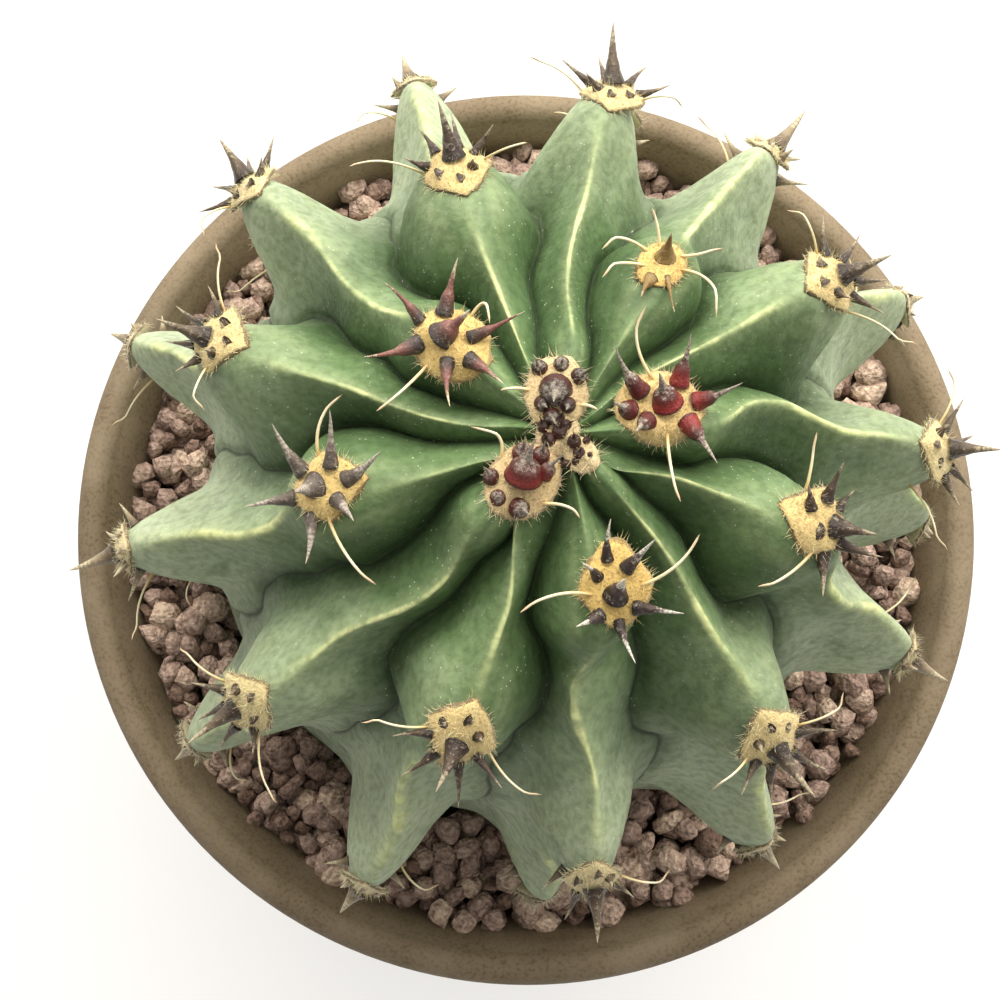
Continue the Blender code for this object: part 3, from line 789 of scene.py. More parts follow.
def strand_tree(name, profile, material):
    """A tapering tube from each point's root along its way, bowed and hooked by its own amounts."""
    inputs = {"Geometry": "Geometry", "Int": "steps sides"}
    tree, given, result = new_tree(name, inputs, {"Geometry": "Geometry"})
    points = store(tree, given["Geometry"], root=add(tree, "GeometryNodeInputPosition").outputs[0])
    line = {"Start": (0.0, 0.0, 0.0), "End": (0.0, 0.0, 1.0)}
    line = add(tree, "GeometryNodeCurvePrimitiveLine", line)
    line = add(tree, "GeometryNodeResampleCurve", {"Curve": line, "Count": given["steps"]})
    strands = add(tree, "GeometryNodeInstanceOnPoints", {"Points": points, "Instance": line})
    strands = add(tree, "GeometryNodeRealizeInstances", {"Geometry": strands})
    stored = recall(tree, "thickness dome", "root way bow hook")
    made = formulas(
        tree,
        "bow = 4 * t * (1 - t)\nhook = smooth(t, 0.7, 1) ** 2\nscale = " + profile,
        t=add(tree, "GeometryNodeSplineParameter").outputs["Factor"], r=stored["thickness"],
        dome=stored["dome"],
    )
    place = stored["root"]
    for vector, amount in (("way", made.t), ("bow", made.bow), ("hook", made.hook)):
        moved = {0: stored[vector], 1: amount, 2: place}
        place = add(tree, "ShaderNodeVectorMath", moved, operation="MULTIPLY_ADD")
    strands = add(tree, "GeometryNodeSetPosition", {"Geometry": strands, "Position": place})
    strands = store(tree, strands, along=made.t)
    circle = {"Resolution": given["sides"], "Radius": 1.0}
    circle = add(tree, "GeometryNodeCurvePrimitiveCircle", circle).outputs["Curve"]
    tubes = {"Curve": strands, "Profile Curve": circle, "Scale": made.scale, "Fill Caps": True}
    return finish_tree(tree, add(tree, "GeometryNodeCurveToMesh", tubes), material, result)


def hair_root_tree():
    """Points on the wool's upper side, each with the way its hair stands."""
    inputs = {"Geometry": "Geometry", "Float": "density length thickness", "Int": "seed"}
    tree, given, result = new_tree("hair_roots", inputs, {"Geometry": "Geometry"})
    stored = recall(tree, "number", "flat")
    height = add(tree, "ShaderNodeSeparateXYZ", {0: stored["flat"]}).outputs["Z"]
    upper = add(tree, "FunctionNodeCompare", {0: height, 1: -0.3}, operation="GREATER_THAN")
    spread = {"Mesh": given["Geometry"], "Selection": upper, "Density": given["density"]}
    spread["Seed"] = given["seed"]
    spread = add(tree, "GeometryNodeDistributePointsOnFaces", spread).outputs
    jitter = {"Min": (-1.0, -1.0, -1.0), "Max": (1.0, 1.0, 1.0), "Seed": given["seed"]}
    jitter = add(tree, "FunctionNodeRandomValue", jitter, data_type="FLOAT_VECTOR")
    lean = {0: jitter, 1: (hair_scatter,) * 3, 2: spread["Normal"]}
    lean = add(tree, "ShaderNodeVectorMath", lean, operation="MULTIPLY_ADD")
    tone = {2: 0.6, 3: 1.3, "Seed": given["seed"]}
    tone = add(tree, "FunctionNodeRandomValue", tone, data_type="FLOAT").outputs[1]
    long = formulas(
        tree, "long = length * tone * (1 + 0.4 * smooth(4 - number, 0, 4))", **given, tone=tone,
        number=stored["number"],
    ).long
    way = add(tree, "ShaderNodeVectorMath", {0: lean, 1: long}, operation="MULTIPLY").outputs[0]
    bow = {0: jitter, 1: (hair_bow,) * 3}
    bow = add(tree, "ShaderNodeVectorMath", bow, operation="MULTIPLY").outputs[0]
    points = add(tree, "GeometryNodePointsToVertices", {"Points": spread["Points"]})
    points = store(
        tree, points, way=way, bow=bow, thickness=given["thickness"], dome=0.0, tone=tone
    )
    tree.links.new(points.outputs[0], result["Geometry"])
    return tree


def wool_material():
    """Loose wool hairs: translucent cream, paler towards the tips."""
    made, tree, place = new_material("areole_wool")
    tone, number = (
        add(tree, "ShaderNodeAttribute", attribute_name=name).outputs["Fac"]
        for name in ("tone", "number")
    )
    pale = {"Value": tone, "From Min": 0.6, "From Max": 1.3, "To Max": 0.5}
    pale = add(tree, "ShaderNodeMapRange", pale)
    colour = {0: pale, 6: wool_colour(tree, number), 7: "#efe6c8"}
    colour = add(tree, "ShaderNodeMix", colour, data_type="RGBA")
    inputs = {"Base Color": colour, "Roughness": 0.7, "Subsurface Weight": 0.2}
    inputs["Subsurface Scale"] = 0.0005
    shader = add(tree, "ShaderNodeBsdfPrincipled", inputs)
    add(tree, "ShaderNodeOutputMaterial", {"Surface": shader})
    return made


areole_points = grown(
    "areole_points", areole_frame_tree(skin_points, ribs), {"count": areole_count + 1}
)
# The last point becomes the growing point's own tuft, where the next areole is forming.
spots, layers = areole_points.data.vertices, areole_points.data.attributes
spots[areole_count].co = spots[0].co + Vector(tuft_offset)
axes = {"normal": (0, 0, 1), "downhill": (0.8, 0.6, 0), "sideways": (-0.6, 0.8, 0)}
for name, value in axes.items():
    layers[name].data[areole_count].vector = value
layers["size"].data[areole_count].value = 0.5
layers["number"].data[areole_count].value = 0.0
# Where an areole sits beside the middle of its swelling, in millimetres right and back.
areole_nudges = (
    (-0.8, 0.4), (-2.1, -1.2), (1.9, 1.5), (-2.0, 2.8), (-0.2, 0.7), (2.7, 2.7), (-0.4, 1.5),
    (-0.8, 2.0), (0.2, 2.1), (0.0, 2.6), (0.6, 0.8), (0.3, 0.0), (-0.5, 1.8), (-0.3, -0.4),
    (0.9, 0.4), (-0.6, 0.9),
)
for vertex, nudge in zip(spots, areole_nudges):
    offset = Vector((*nudge, 0)) / 1000
    normal = layers["normal"].data[vertex.index].vector
    vertex.co += offset - normal * offset.dot(normal)
centres = [vertex.co.copy() for vertex in spots]
normals, downhills, sideways_ways = (
    [item.vector.copy() for item in layers[name].data] for name in axes
)
pad_sizes = {"up": pad_up, "down": pad_down, "width": pad_half_width, "thickness": pad_thickness}
pad_sizes["bend_radius"] = pad_bend_radius
pads = grown("areole_pads", pad_tree(stem, felt_material()), pad_sizes, areole_points.data)
bpy.data.objects.remove(areole_points)
hair_sizes = {"density": hair_count_per_square_metre, "length": hair_length, "seed": 3}
hair_sizes["thickness"] = hair_thickness
hair_roots = grown("hair_roots", hair_root_tree(), hair_sizes, pads.data)
wool_hairs = strand_tree("wool_hairs", "r * (1 - 0.85 * t)", wool_material())
wool = grown("areole_wool", wool_hairs, {"steps": 3, "sides": 3}, hair_roots.data)
bpy.data.objects.remove(hair_roots)
all_areoles = [f"areole_{number + 1:02d}" for number in range(areole_count)]
for piece in (pads, wool):
    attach(piece, "root")
    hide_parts(*all_areoles)

# ---------------------------------------------------------------------------------------------
# The spines: hard horn, seven to an areole, swollen and dark where they leave the wool, flaking
# grey towards the point. Young ones are short knobs, and old ones lose their points or fall.
# ---------------------------------------------------------------------------------------------

# The spines of the nine youngest areoles, in millimetres from the areole's middle as seen from
# above: where each is rooted (right, back), where its point lies from there, how far the point
# stands above its root, and the radius of its foot. The stout central one comes first.
shoulder_spines = (
    ((-0.4, 0.3, 0.2, 0.4, 1.9, 0.8), (-1.1, 1.8, -0.2, 1.0, 2.6, 0.9),
     (-0.9, -0.9, -0.2, 0.0, 1.2, 0.5), (1.1, 0.0, 0.1, 0.0, 1.1, 0.4),
     (-2.0, -1.2, -1.4, -0.2, 1.9, 0.6), (0.6, 2.0, 0.6, 1.2, 1.9, 0.5),
     (-3.2, 3.2, 0.4, 1.2, 2.6, 1.0), (-4.6, 2.2, -1.0, 0.6, 2.6, 0.95),
     (-3.4, 5.0, 0.8, 1.0, 2.6, 0.9), (-5.4, 4.0, -0.6, 1.2, 2.4, 0.8),
     (-2.4, 4.2, 1.4, 0.4, 2.2, 0.7)),
    ((0.0, -0.2, -0.5, -2.6, 5.2, 2.2), (-2.2, 3.2, -0.7, 0.9, 2.8, 1.1),
     (0.9, 3.7, 0.0, 0.3, 2.4, 1.1), (3.1, 1.9, 1.5, 0.5, 2.8, 1.1),
     (-2.0, -2.1, 0.7, -1.3, 3.0, 1.05), (1.7, -2.4, -0.4, -1.4, 3.2, 1.05),
     (-0.6, -3.9, 0.5, -1.8, 3.2, 1.15)),
    ((0.4, 0.7, 1.5, 4.5, 5.2, 2.5), (-4.2, 0.7, -1.1, 1.2, 3.0, 1.15),
     (-3.2, -2.2, 0.0, -0.1, 2.1, 1.1), (-0.4, -3.6, 1.5, -1.4, 2.9, 1.4),
     (0.2, 4.2, 0.3, 1.2, 3.6, 1.35), (2.8, 3.6, 0.6, 1.6, 3.8, 1.25),
     (3.2, 1.2, 2.9, 2.2, 3.6, 1.25)),
    ((0.4, 0.4, -1.5, 3.3, 5.2, 2.2), (-3.2, 1.9, -4.2, 5.6, 5.0, 1.4),
     (2.5, 3.4, 1.5, 6.4, 4.8, 1.4), (5.0, 0.9, 6.2, 2.0, 4.0, 1.35),
     (3.4, -2.2, 3.6, -6.7, 4.0, 1.5), (-5.0, -0.7, -2.4, 0.6, 3.4, 1.4),
     (-2.5, -2.3, -2.0, -2.2, 3.4, 1.3)),
    ((-1.0, 0.5, 4.3, 2.6, 5.0, 2.1), (-4.6, 3.6, -5.1, 5.0, 3.0, 0.95),
     (-1.1, 4.6, 2.0, 7.5, 3.6, 1.3), (-4.6, 0.1, -7.8, -2.6, 2.6, 1.35),
     (3.1, 0.2, 7.7, 3.1, 3.6, 1.05), (-0.1, -3.1, 0.4, -7.3, 3.0, 1.1),
     (3.1, -3.3, 5.1, -4.4, 3.2, 1.2)),
    ((-0.2, -1.0, 1.1, 2.1, 4.6, 1.8), (-1.4, 4.2, 0.3, 5.3, 4.0, 0.85),
     (1.3, 2.9, 3.8, 3.8, 4.2, 1.1), (-2.8, 1.7, -2.4, 1.7, 4.0, 0.85),
     (2.8, -3.1, 6.6, -1.2, 3.4, 1.1), (-2.4, -4.0, -3.5, -1.7, 3.2, 1.1),
     (0.4, -5.2, 2.2, -6.0, 2.6, 0.9)),
    ((0.4, 0.8, 0.4, 2.2, 4.8, 1.5), (-2.1, -3.2, -1.7, -3.3, 2.6, 1.0),
     (0.3, -2.7, 0.7, -6.0, 2.2, 0.45)),
    ((-1.5, 0.0, -2.6, -1.1, 3.0, 2.1), (-4.2, 2.3, -4.2, 6.6, 4.0, 1.3),
     (1.2, 3.0, 0.4, 7.7, 4.4, 1.15), (4.0, 1.0, 5.2, 3.6, 4.4, 1.3),
     (2.5, -1.9, 3.0, -3.6, 4.2, 1.2), (-2.8, -4.2, -0.4, -7.3, 2.4, 1.2),
     (-5.6, -1.6, -7.2, -1.5, 1.4, 1.2)),
    ((3.0, -0.9, 5.6, -1.5, 3.4, 1.8), (-2.0, 2.1, -1.1, 3.1, 3.6, 1.0),
     (1.4, 3.2, 1.9, 5.2, 3.6, 1.1), (4.3, 1.6, 2.4, 2.9, 0.6, 0.9),
     (-0.8, -1.3, 0.1, 0.0, 0.5, 1.2), (4.6, -3.3, 6.2, -2.3, 1.2, 1.1),
     (1.9, -5.0, -0.5, -6.4, 1.6, 1.2)),
)
# An older areole's seven spines in its own directions, in millimetres: root downhill and aside,
# then its point's way downhill, aside and outward. The scar of a lost one stands uphill.
flank_spines = (
    (1.0, 0.3, 4.0, 0.6, 7.8, 1.75), (-3.7, 0.2, -0.2, 0.1, 0.6, 1.0),
    (-1.6, 2.4, -1.1, 1.1, 2.6, 0.95), (-1.2, -2.6, -0.1, -0.2, 0.7, 1.1),
    (2.0, 3.6, 1.3, 4.9, 2.9, 0.9), (1.9, -3.8, 2.0, -4.7, 2.2, 0.9),
    (4.2, 1.6, 5.9, 2.1, 1.7, 0.9), (4.0, -1.9, 5.6, -2.5, 2.1, 0.95),
)
# Foot, middle and tip of a spine by age, how far up it flakes from, and how domed its foot is.
spine_looks = (
    (0, "#43211c", "#33201b", "#5b4a40", 0.8, 0.9), (1, "#44211c", "#2b1c19", "#8f877c", 0.33, 0.9),
    (2, "#6b201b", "#45231f", "#8f877c", 0.30, 0.85),
    (3, "#7c2321", "#4a2724", "#a0968a", 0.36, 0.55),
    (4, "#3b322e", "#7b5149", "#c9bfa3", 0.7, 0.4), (5, "#251c19", "#3b2d29", "#cfcabd", 0.42, 0.3),
    (6, "#8b7446", "#7d6439", "#c7b591", 0.75, 0.3),
    (7, "#4d443c", "#61574f", "#a49c90", 0.35, 0.25),
    (8, "#281b13", "#46382b", "#9c917c", 0.6, 0.25),
    (11, "#2a1f16", "#544737", "#a2977f", 0.52, 0.22),
    (14, "#33271b", "#574a39", "#a89c84", 0.55, 0.2),
    (19, "#62533f", "#8f8167", "#c2b79a", 0.4, 0.1),
)
foot_shade = 0.45
spine_fullness = 1.12
root_search_height = 0.012
root_search_reach = 0.014
root_depth = 0.0002
spine_profile = (
    "r * (1 - dome) * (1 - t) ** 0.85 * (0.66 + 0.34 * exp(-((t / 0.14) ** 2)))"
    " + r * dome * (max(1 - (t / 0.5) ** 2.6, 0) ** 0.5 * (1 - 0.15 * t) * (1 - smooth(t, 0.3, 0.5))"
    " + 0.30 * (1 - t) * smooth(t, 0.2, 0.45)) + 0.00003"
)


def strand_points(name, rows):
    """A mesh of root points. A row is its root and its attributes: number, vector or colour."""
    mesh = bpy.data.meshes.new(name)
    mesh.from_pydata([root for root, _ in rows], [], [])
    kinds = {tuple: ("FLOAT_COLOR", "color"), Vector: ("FLOAT_VECTOR", "vector")}
    for label, first in rows[0][1].items():
        kind, field = kinds.get(type(first), ("FLOAT", "value"))
        layer = mesh.attributes.new(label, kind, "POINT")
        for item, (_, values) in zip(layer.data, rows):
            setattr(item, field, values[label])
    return mesh


def on_wool(number, offset):
    """The point of the wool or skin below a spot beside the areole's middle."""
    start = centres[number] + offset + normals[number] * root_search_height
    for surface in (pads, stem):
        hit, place, _, _ = surface.ray_cast(start, -normals[number])
        if hit and (place - centres[number]).length < root_search_reach:
            return place - normals[number] * root_depth
    return centres[number] + offset


def spine_row(number, place, row):
    """One spine's root and attributes, from its row of the tables above."""
    normal, downhill, aside = normals[number], downhills[number], sideways_ways[number]
    a, b, c, d, rise, radius = (value / 1000 for value in row)
    if number < len(shoulder_spines):
        offset = Vector((a, b, 0))
        offset -= normal * offset.dot(normal)
        way = Vector((c, d, rise * normal.z)) + normal * rise * (1 - normal.z)
    else:
        mirror = -1 if number % 2 else 1
        wobble = math.sin(number * 7.3 + place * 2.9)
        worn = 1 - 0.35 * max(0.0, min(1.0, (number - 18) / 6)) + 0.10 * wobble
        offset = downhill * a + aside * b * mirror
        way = (downhill * c + aside * (d * mirror + 0.0012 * wobble) + normal * rise) * worn
    _, *colours, flake, dome = [look for look in spine_looks if look[0] <= number][-1]
    foot, middle, tip = (linear(colour) for colour in colours)
    if number in (2, 3) and a < 0:
        foot = tuple(channel * foot_shade for channel in foot)
    return on_wool(number, offset), {
        "way": way, "bow": way.cross(normal) * 0.05 * math.sin(number * 3.1 + place * 1.7),
        "hook": way.cross(aside) * 0.04 * math.sin(number + place * 2.3),
        "thickness": radius * spine_fullness, "dome": dome if place else dome * 0.9,
        "number": float(number), "foot": foot, "middle": middle, "tip": tip, "flake": flake,
        "chance": (math.sin(number * 12.9 + place * 78.2) * 43758.5) % 1.0,
    }


def spine_material():
    """Horn: smooth and slightly glossy at the foot, with a dull grey skin that flakes above it."""
    made, tree, place = new_material("spine_horn")
    stored = {
        name: add(tree, "ShaderNodeAttribute", attribute_name=name).outputs["Fac"]
        for name in ("along", "flake", "chance", "number")
    }
    foot, middle, tip = (
        add(tree, "ShaderNodeAttribute", attribute_name=name).outputs["Color"]
        for name in ("foot", "middle", "tip")
    )
    scales = {"Vector": place, "Scale": 1500.0, "Detail": 4.0, "Roughness": 0.7}
    scales = add(tree, "ShaderNodeTexNoise", scales)
    shares = formulas(
        tree,
        """
        upper = smooth(along + (rings - 0.5) * 0.25, 0.10, 0.42)
        flakes = along + (scales - 0.5) * 1.1 + (chance - 0.5) * 0.2
        flakes = smooth(flakes, flake, flake + 0.22)
        chips = smooth(scales, 0.56, 0.64) * smooth(number, 2.5, 4.5) * 0.45
        # The flaking skin splits in rings, which show dark horn between them.
        split = smooth(sin(along * 75 + scales * 14), 0.35, 0.8) * (1 - smooth(along, 0.75, 0.95))
        dark = flakes * (0.35 * smooth(0.47 - scales, 0, 0.08) + 0.45 * split)
        dark = 0.65 * (1 - smooth(along, 0.02, 0.07)) + dark
        rough = 0.36 + 0.45 * flakes
        """,
        **stored, scales=scales,
        rings=add(tree, "ShaderNodeTexNoise", {"Vector": place, "Scale": 500.0, "Detail": 2.0}),
    )
    horn = foot
    for share, colour in (
        (shares.upper, middle), (shares.flakes, tip), (shares.chips, "#a79d8c"),
        (shares.dark, "#17100c"),
    ):
        horn = add(tree, "ShaderNodeMix", {0: share, 6: horn, 7: colour}, data_type="RGBA")
    return surfaced(made, scales, 0.0004, 0.8, Base_Color=horn, Roughness=shares.rough, IOR=1.45)


spine_horn = strand_tree("spine_horn", spine_profile, spine_material())
for name, steps, sides, first, last in (
    ("shoulder_spines", 18, 18, 0, len(shoulder_spines)),
    ("flank_spines", 10, 8, len(shoulder_spines), areole_count),
):
    rows = [
        spine_row(number, place, row)
        for number in range(first, last)
        for place, row in enumerate(flank_spines if first else shoulder_spines[number])
    ]
    roots = strand_points(name + "_roots", rows)
    spines = grown(name, spine_horn, {"steps": steps, "sides": sides}, roots)
    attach(spines, "root")
    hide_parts(*all_areoles[first:last])

# ---------------------------------------------------------------------------------------------
# The bristles: up to five thin cream radial spines beside the stout ones, tough as fishing line,
# that bend round and hook at the end. They grow from the corners of the wool.
# ---------------------------------------------------------------------------------------------

bristle_radius = 0.00027
# In millimetres as for the spines: root, point and rise, then how far the middle bows (right,
# back) and how far the end hooks (right, back).
shoulder_bristles = {
    1: ((-3.7, 0.0, -4.2, -0.2, 1.0, 0, 0.3, 0, 0), (3.5, -2.2, 2.4, -0.9, 1.2, 0, 0.3, 0, 0)),
    2: ((-3.0, 3.3, -1.6, 4.0, 2.4, 0.9, 0.6, -2.6, 0.4),
        (3.0, -3.0, 5.3, -1.7, 1.0, 0.4, 0.5, 0, -0.5)),
    3: ((-1.2, 3.9, -2.2, 9.2, 3.4, -1.3, 0.0, 0.9, 0.9),
        (0.5, -4.0, 1.3, -10.2, 2.4, -0.3, 0, 0.2, 0)),
    4: ((2.8, 4.2, 2.6, -0.6, 3.2, 0.6, 1.9, 0.2, -1.2),
        (-3.4, -3.2, -7.2, -7.2, 2.0, 0.2, -0.2, 0, 0)),
    5: ((-3.6, -0.9, -10.2, -2.4, 2.4, 0, 1.1, 0, -0.3),
        (3.4, 0.3, 8.0, 6.5, 2.4, 0.8, -0.7, 0.3, 0.6)),
    6: ((-2.0, 2.1, -6.4, 1.2, 2.6, 0, 0.9, -0.6, -1.6),
        (-2.6, -0.7, -6.2, -0.4, 1.6, 0, 0.4, -0.4, -1.8),
        (-0.2, 3.0, -1.2, 5.2, 2.4, 0.3, 0, 0, 0), (2.6, 1.4, 5.8, 0.8, 2.0, 0, -0.4, 0.5, -0.2),
        (2.6, -1.0, 5.6, -5.2, 1.6, 0.9, 1.0, -0.6, -2.4)),
    7: ((-1.6, 4.6, 2.9, 8.4, 3.0, -1.2, 0.4, 0.7, 0.2),
        (0.4, -4.4, 7.0, -10.2, 1.0, -0.6, -0.6, 0.2, 0.2)),
    8: ((-0.7, -4.6, -7.8, -5.4, 0.6, 0.3, -0.6, -0.4, 0.3),
        (3.2, 4.2, 1.0, 8.0, 2.8, 0.3, 0.2, 0.4, 0.6)),
}


def bristle_rows():
    """Each bristle's root, way, bow and hook, by the table above or by rule on the flanks."""
    for number in range(1, areole_count):
        normal, downhill, aside = normals[number], downhills[number], sideways_ways[number]
        for a, b, c, d, rise, *bends in shoulder_bristles.get(number, ()):
            offset = Vector((a, b, 0)) / 1000
            offset -= normal * offset.dot(normal)
            bow, hook = Vector((*bends[:2], 0)) / 1000, Vector((*bends[2:], 0)) / 1000
            yield number, offset, Vector((c, d, rise)) / 1000, bow, hook
        if number in shoulder_bristles:
            continue
        for place, side in enumerate((1, -1) if number < 17 else (1,)):
            wobble = math.sin(number * 5.1 + place * 2.2)
            offset = downhill * (0.0012 + 0.001 * wobble) + aside * side * 0.0046
            long = 0.0088 + 0.002 * wobble
            way = aside * side * long + (normal * 0.3 + downhill * 0.35 * wobble) * long
            hook = (normal * wobble - downhill * side) * 0.0016
            yield number, offset, way, normal * 0.0012 + downhill * 0.001 * wobble, hook


def bristle_material():
    """Bleached horn fibre: smooth cream, a little translucent, tan at the foot and the hook."""
    made, tree, place = new_material("bristle_horn")
    along = add(tree, "ShaderNodeAttribute", attribute_name="along").outputs["Fac"]
    mottle = add(tree, "ShaderNodeTexNoise", {"Vector": place, "Scale": 420.0, "Detail": 2.0})
    spot = formulas(tree, "spot = along + (mottle - 0.5) * 0.3", along=along, mottle=mottle).spot
    stops = ((0.0, "#b99a55"), (0.16, "#d8c795"), (0.6, "#e4dcbc"), (0.95, "#b79f7e"))
    colour = add(tree, "ShaderNodeValToRGB", {"Fac": spot}, stops)
    inputs = {"Base Color": colour.outputs["Color"], "Roughness": 0.45, "IOR": 1.54}
    shader = add(tree, "ShaderNodeBsdfPrincipled", inputs)
    add(tree, "ShaderNodeOutputMaterial", {"Surface": shader})
    return made


bristle_horn = strand_tree(
    "bristle_horn", "r * (1 - 0.35 * t) * (1 - smooth(t, 0.93, 1.02))", bristle_material()
)
rows = [
    (on_wool(number, offset), {
        "way": way, "bow": bow, "hook": hook, "dome": 0.0, "number": float(number),
        "thickness": bristle_radius * (1 if number < 9 else 0.8),
    })
    for number, offset, way, bow, hook in bristle_rows()
]
roots = strand_points("bristle_roots", rows)
bristles = grown("bristles", bristle_horn, {"steps": 14, "sides": 6}, roots)
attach(bristles, "root")
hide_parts(*all_areoles)

# ---------------------------------------------------------------------------------------------
# The top dressing: crushed lava in angular lumps of four to seven millimetres, poured round the
# standing plant in three loose layers. Twelve lumps lie proud of it, each in its CAD stone's place.
# ---------------------------------------------------------------------------------------------

grit_outer = 0.0800
grit_inner = 0.0615
grit_layers = 3
grit_per_layer = 490
grit_smallest = 0.0045
grit_largest = 0.0085
grit_lift = 0.0010
grit_layer_spacing = 0.0030
grit_dent = 0.0036
grit_middle = [stem_offset[axis] - 0.012 * stem_lean[axis] for axis in (0, 1)]


def lava_material():
    """Crushed lava: rough and dull, purple-brown to grey, full of pores, some lumps paler than
    others.
    """
    made, tree, place = new_material("lava_grit")
    tone = add(tree, "ShaderNodeAttribute", attribute_name="tone").outputs["Fac"]
    stops = (
        (0.0, "#7f6657"), (0.3, "#a0877a"), (0.6, "#b9a093"), (0.85, "#ceb5a4"), (1.0, "#e0c8b2")
    )
    stone = add(tree, "ShaderNodeValToRGB", {"Fac": tone}, stops)
    grain = add(tree, "ShaderNodeTexNoise", {"Vector": place, "Scale": 900.0, "Detail": 5.0})
    pores = {"Vector": place, "Scale": 1100.0}
    pores = add(tree, "ShaderNodeTexVoronoi", pores).outputs["Distance"]
    shade = add(tree, "ShaderNodeValToRGB", {"Fac": grain}, ((0.3, "#7b6c63"), (0.65, "#ffffff")))
    stone = {0: 0.8, 6: stone, 7: shade}
    stone = add(tree, "ShaderNodeMix", stone, data_type="RGBA", blend_type="MULTIPLY")
    relief = formulas(tree, "relief = grain + pores * 0.5", grain=grain, pores=pores).relief
    return surfaced(made, relief, 0.0009, 1.0, Base_Color=stone, Roughness=0.9)


def grit_tree(material):
    """Lumps of lava in layers on a ring, each turned, stretched and dented in its own way."""
    inputs = {"Int": "layers per_layer seed", "Float": "smallest largest inner outer top"}
    tree, given, result = new_tree("lava_grit", inputs, {"Geometry": "Geometry"})
    made = formulas(
        tree,
        """
        layer = floor(number / per_layer)
        # Spread evenly on a ring by turning each next stone 137.5 degrees round, then jostled.
        share = ((number - layer * per_layer) + 0.5) / per_layer
        radius = sqrt(inner * inner + (outer * outer - inner * inner) * share)
        shift = (outer - radius) / (outer - inner)
        turn = number * 2.39996323 + layer * 1.1
        X = middle_x * shift + radius * cos(turn)
        Y = middle_y * shift + radius * sin(turn)
        Z = top + lift - spacing * layer
        stones = layers * per_layer
        """,
        **given, number=add(tree, "GeometryNodeInputIndex"), middle_x=grit_middle[0],
        middle_y=grit_middle[1], lift=grit_lift, spacing=grit_layer_spacing,
    )
    jostle, shape, tumble = (
        add(
            tree, "FunctionNodeRandomValue", {"Min": low, "Max": high, "Seed": given["seed"]},
            data_type="FLOAT_VECTOR",
        )
        for low, high in (
            ((-0.0016, -0.0016, -0.0009), (0.0016, 0.0016, 0.0009)),
            ((0.75, 0.6, 0.5), (1.15, 1.0, 0.9)),
            ((0.0, 0.0, 0.0), (6.28, 6.28, 6.28)),
        )
    )
    size = {2: given["smallest"], 3: given["largest"], "Seed": given["seed"]}
    size = add(tree, "FunctionNodeRandomValue", size, data_type="FLOAT").outputs[1]
    tone = {"Seed": given["seed"]}
    tone = add(tree, "FunctionNodeRandomValue", tone, data_type="FLOAT").outputs[1]
    spot = add(tree, "ShaderNodeCombineXYZ", {axis: getattr(made, axis) for axis in "XYZ"})
    spot = add(tree, "ShaderNodeVectorMath", {0: spot, 1: jostle})
    points = add(tree, "GeometryNodeMeshLine", {"Count": made.stones})
    points = add(tree, "GeometryNodeSetPosition", {"Geometry": points, "Position": spot})
    points = store(tree, points, tone=tone)
    # One lump is a cube of few faces, rounded most of the way to a ball.
    cube = {"Size": (1.0, 1.0, 1.0), "Vertices X": 3, "Vertices Y": 3, "Vertices Z": 3}
    cube = add(tree, "GeometryNodeMeshCube", cube).outputs["Mesh"]
    corner = add(tree, "GeometryNodeInputPosition")
    ball = add(tree, "ShaderNodeVectorMath", {0: corner}, operation="NORMALIZE")
    ball = {0: ball, 1: (0.42, 0.42, 0.42)}
    ball = add(tree, "ShaderNodeVectorMath", ball, operation="MULTIPLY")
    soft = add(tree, "ShaderNodeMix", {0: 0.85, 4: corner, 5: ball}, data_type="VECTOR")
    stones = {"Points": points, "Rotation": add(tree, "FunctionNodeEulerToRotation", {0: tumble})}
    stones["Instance"] = add(tree, "GeometryNodeSetPosition", {"Geometry": cube, "Position": soft})
    stones["Scale"] = add(tree, "ShaderNodeVectorMath", {0: shape, 1: size}, operation="MULTIPLY")
    stones = add(tree, "GeometryNodeInstanceOnPoints", stones)
    stones = add(tree, "GeometryNodeRealizeInstances", {"Geometry": stones})
    # Broken faces: each lump is dented by noise at its own place, so no two are alike.
    dents = {"Vector": add(tree, "GeometryNodeInputPosition"), "Scale": 330.0, "Detail": 1.0}
    dents = {0: add(tree, "ShaderNodeTexNoise", dents).outputs["Color"], 1: (0.5, 0.5, 0.5)}
    dents = add(tree, "ShaderNodeVectorMath", dents, operation="SUBTRACT")
    dents = {0: dents, 1: (grit_dent,) * 3}
    dents = add(tree, "ShaderNodeVectorMath", dents, operation="MULTIPLY")
    stones = add(tree, "GeometryNodeSetPosition", {"Geometry": stones, "Offset": dents})
    return finish_tree(tree, stones, material, result)


def loose_stone(name, number, material):
    """One lump: a ball dented by noise and stretched to fill its CAD stone's box."""
    low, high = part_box(name)
    bm = bmesh.new()
    bmesh.ops.create_icosphere(bm, subdivisions=3, radius=1.0)
    for vertex in bm.verts:
        spot = vertex.co * 1.3 + Vector((number * 3.7, 0, 0))
        vertex.co *= 1 + 0.38 * noise.noise(spot) + 0.10 * noise.noise(spot * 2.7)
    corners = [[f(vertex.co[axis] for vertex in bm.verts) for axis in range(3)] for f in (min, max)]
    for vertex in bm.verts:
        for axis in range(3):
            share = (vertex.co[axis] - corners[0][axis]) / (corners[1][axis] - corners[0][axis])
            vertex.co[axis] = low[axis] + (high[axis] - low[axis]) * share
    mesh = bpy.data.meshes.new(name + "_lump")
    bm.to_mesh(mesh)
    bm.free()
    tone = mesh.attributes.new("tone", "FLOAT", "POINT")
    for item in tone.data:
        item.value = (number * 0.37) % 1.0
    mesh.materials.append(material)
    mesh.shade_smooth()
    obj = bpy.data.objects.new(name + "_lump", mesh)
    bpy.context.scene.collection.objects.link(obj)
    return obj


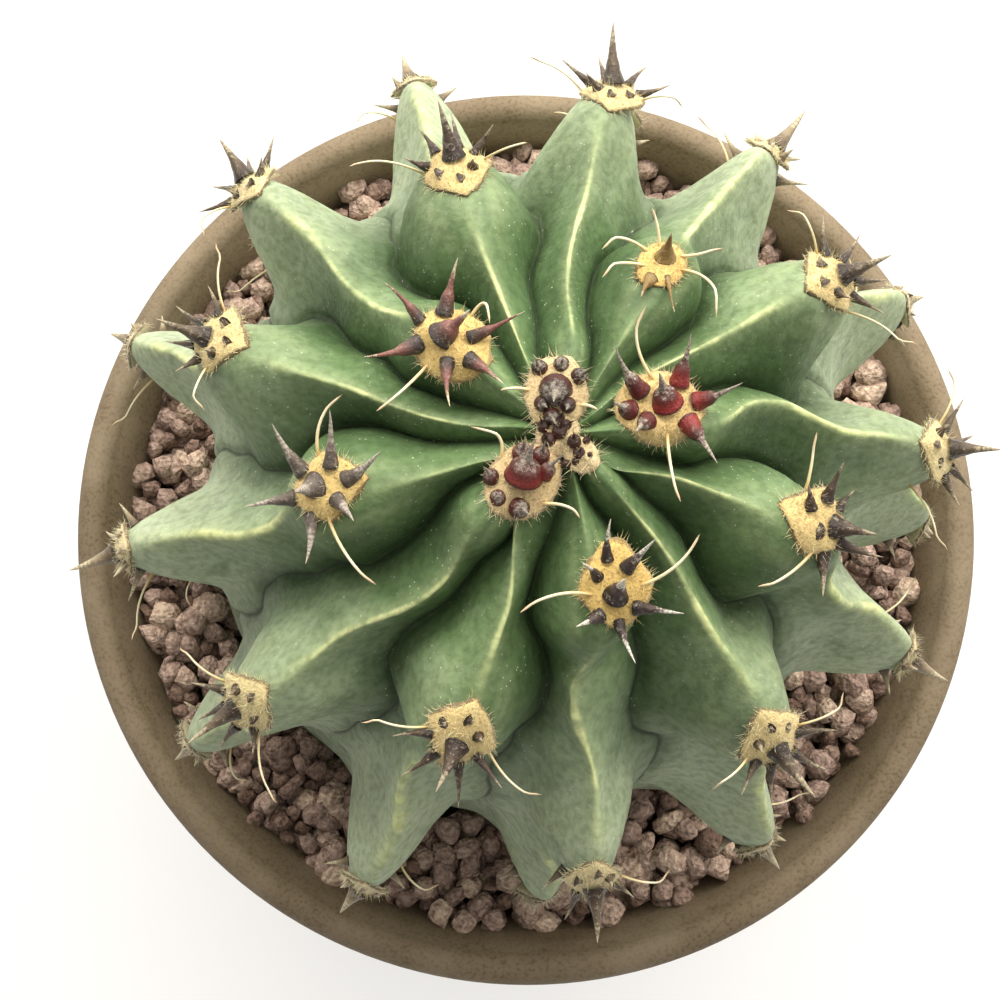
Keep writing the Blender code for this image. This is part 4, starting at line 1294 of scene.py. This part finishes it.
lava = lava_material()
grit_sizes = {"layers": grit_layers, "per_layer": grit_per_layer, "seed": 5, "inner": grit_inner}
grit_sizes.update({"outer": grit_outer, "smallest": grit_smallest, "largest": grit_largest})
grit_sizes["top"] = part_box("grit_bed")[1].z
grit = grown("grit", grit_tree(lava), grit_sizes)
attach(grit, "root")
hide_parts("grit_bed")
for number in range(1, 13):
    node_name = f"grit_stone_{number:02d}"
    lump = loose_stone(node_name, number, lava)
    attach(lump, "root")
    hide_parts(node_name)

# ---------------------------------------------------------------------------------------------
# The stage: the pot stands on a white light table that keeps its shadow faint, under a broad
# window behind it, with weak light from the room. The camera looks almost straight down.
# ---------------------------------------------------------------------------------------------

view_elevation_deg = 82
view_distance = 0.330
view_lens_mm = 59.5
view_aim = (-0.0052, 0.0044, rim_top)
table_half_width = 4.0
room_light = 0.30
# Each lamp: place, what it points at, width and height in metres, and power in watts.
lamps = {
    "window": ((0.12, 0.85, 0.85), (0.0, 0.0, 0.12), 2.8, 0.9, 55.0),
    "room": ((0.3, 0.1, 1.2), (0.0, 0.0, 0.12), 1.0, 1.0, 6.0),
}


def light_table_material():
    """Opal acrylic lit from below: white, dull and even."""
    made, tree, place = new_material("opal_acrylic")
    haze = add(tree, "ShaderNodeTexNoise", {"Vector": place, "Scale": 6.0, "Detail": 3.0})
    white = add(tree, "ShaderNodeValToRGB", {"Fac": haze}, ((0.3, "#9b9b9a"), (0.7, "#9f9f9e")))
    inputs = {"Base Color": white.outputs["Color"], "Roughness": 0.9, "Emission Color": "#fffefc"}
    inputs["Emission Strength"] = 0.62
    shader = add(tree, "ShaderNodeBsdfPrincipled", inputs)
    add(tree, "ShaderNodeOutputMaterial", {"Surface": shader})
    return made


table_mesh = bpy.data.meshes.new("light_table")
sides = ((-1, -1), (1, -1), (1, 1), (-1, 1))
corners = [(x * table_half_width, y * table_half_width, 0) for x, y in sides]
table_mesh.from_pydata(corners, [], [(0, 1, 2, 3)])
table_mesh.materials.append(light_table_material())
light_table = bpy.data.objects.new("light_table", table_mesh)
bpy.context.scene.collection.objects.link(light_table)

world = bpy.data.worlds.new("room")
world.use_nodes = True
world.node_tree.nodes["Background"].inputs["Color"].default_value = linear("#fffdf8")
world.node_tree.nodes["Background"].inputs["Strength"].default_value = room_light
bpy.context.scene.world = world
for name, (place, target, width, height, power) in lamps.items():
    light = bpy.data.lights.new(name, "AREA")
    light.shape = "RECTANGLE"
    light.size, light.size_y = width, height
    light.energy = power
    light.color = linear("#fff8ee")[:3]
    lamp = bpy.data.objects.new(name, light)
    lamp.location = place
    lamp.rotation_euler = (Vector(place) - Vector(target)).to_track_quat("Z", "Y").to_euler()
    bpy.context.scene.collection.objects.link(lamp)

camera = bpy.data.objects.new("camera", bpy.data.cameras.new("camera"))
camera.data.lens = view_lens_mm
camera.data.sensor_width = 36
camera.data.clip_start = 0.01
elevation = math.radians(view_elevation_deg)
back = Vector((0.0, -math.cos(elevation), math.sin(elevation)))
camera.location = Vector(view_aim) + back * view_distance
camera.rotation_euler = back.to_track_quat("Z", "Y").to_euler()
bpy.context.scene.collection.objects.link(camera)
bpy.context.scene.camera = camera
bpy.context.scene.view_settings.view_transform = "Standard"
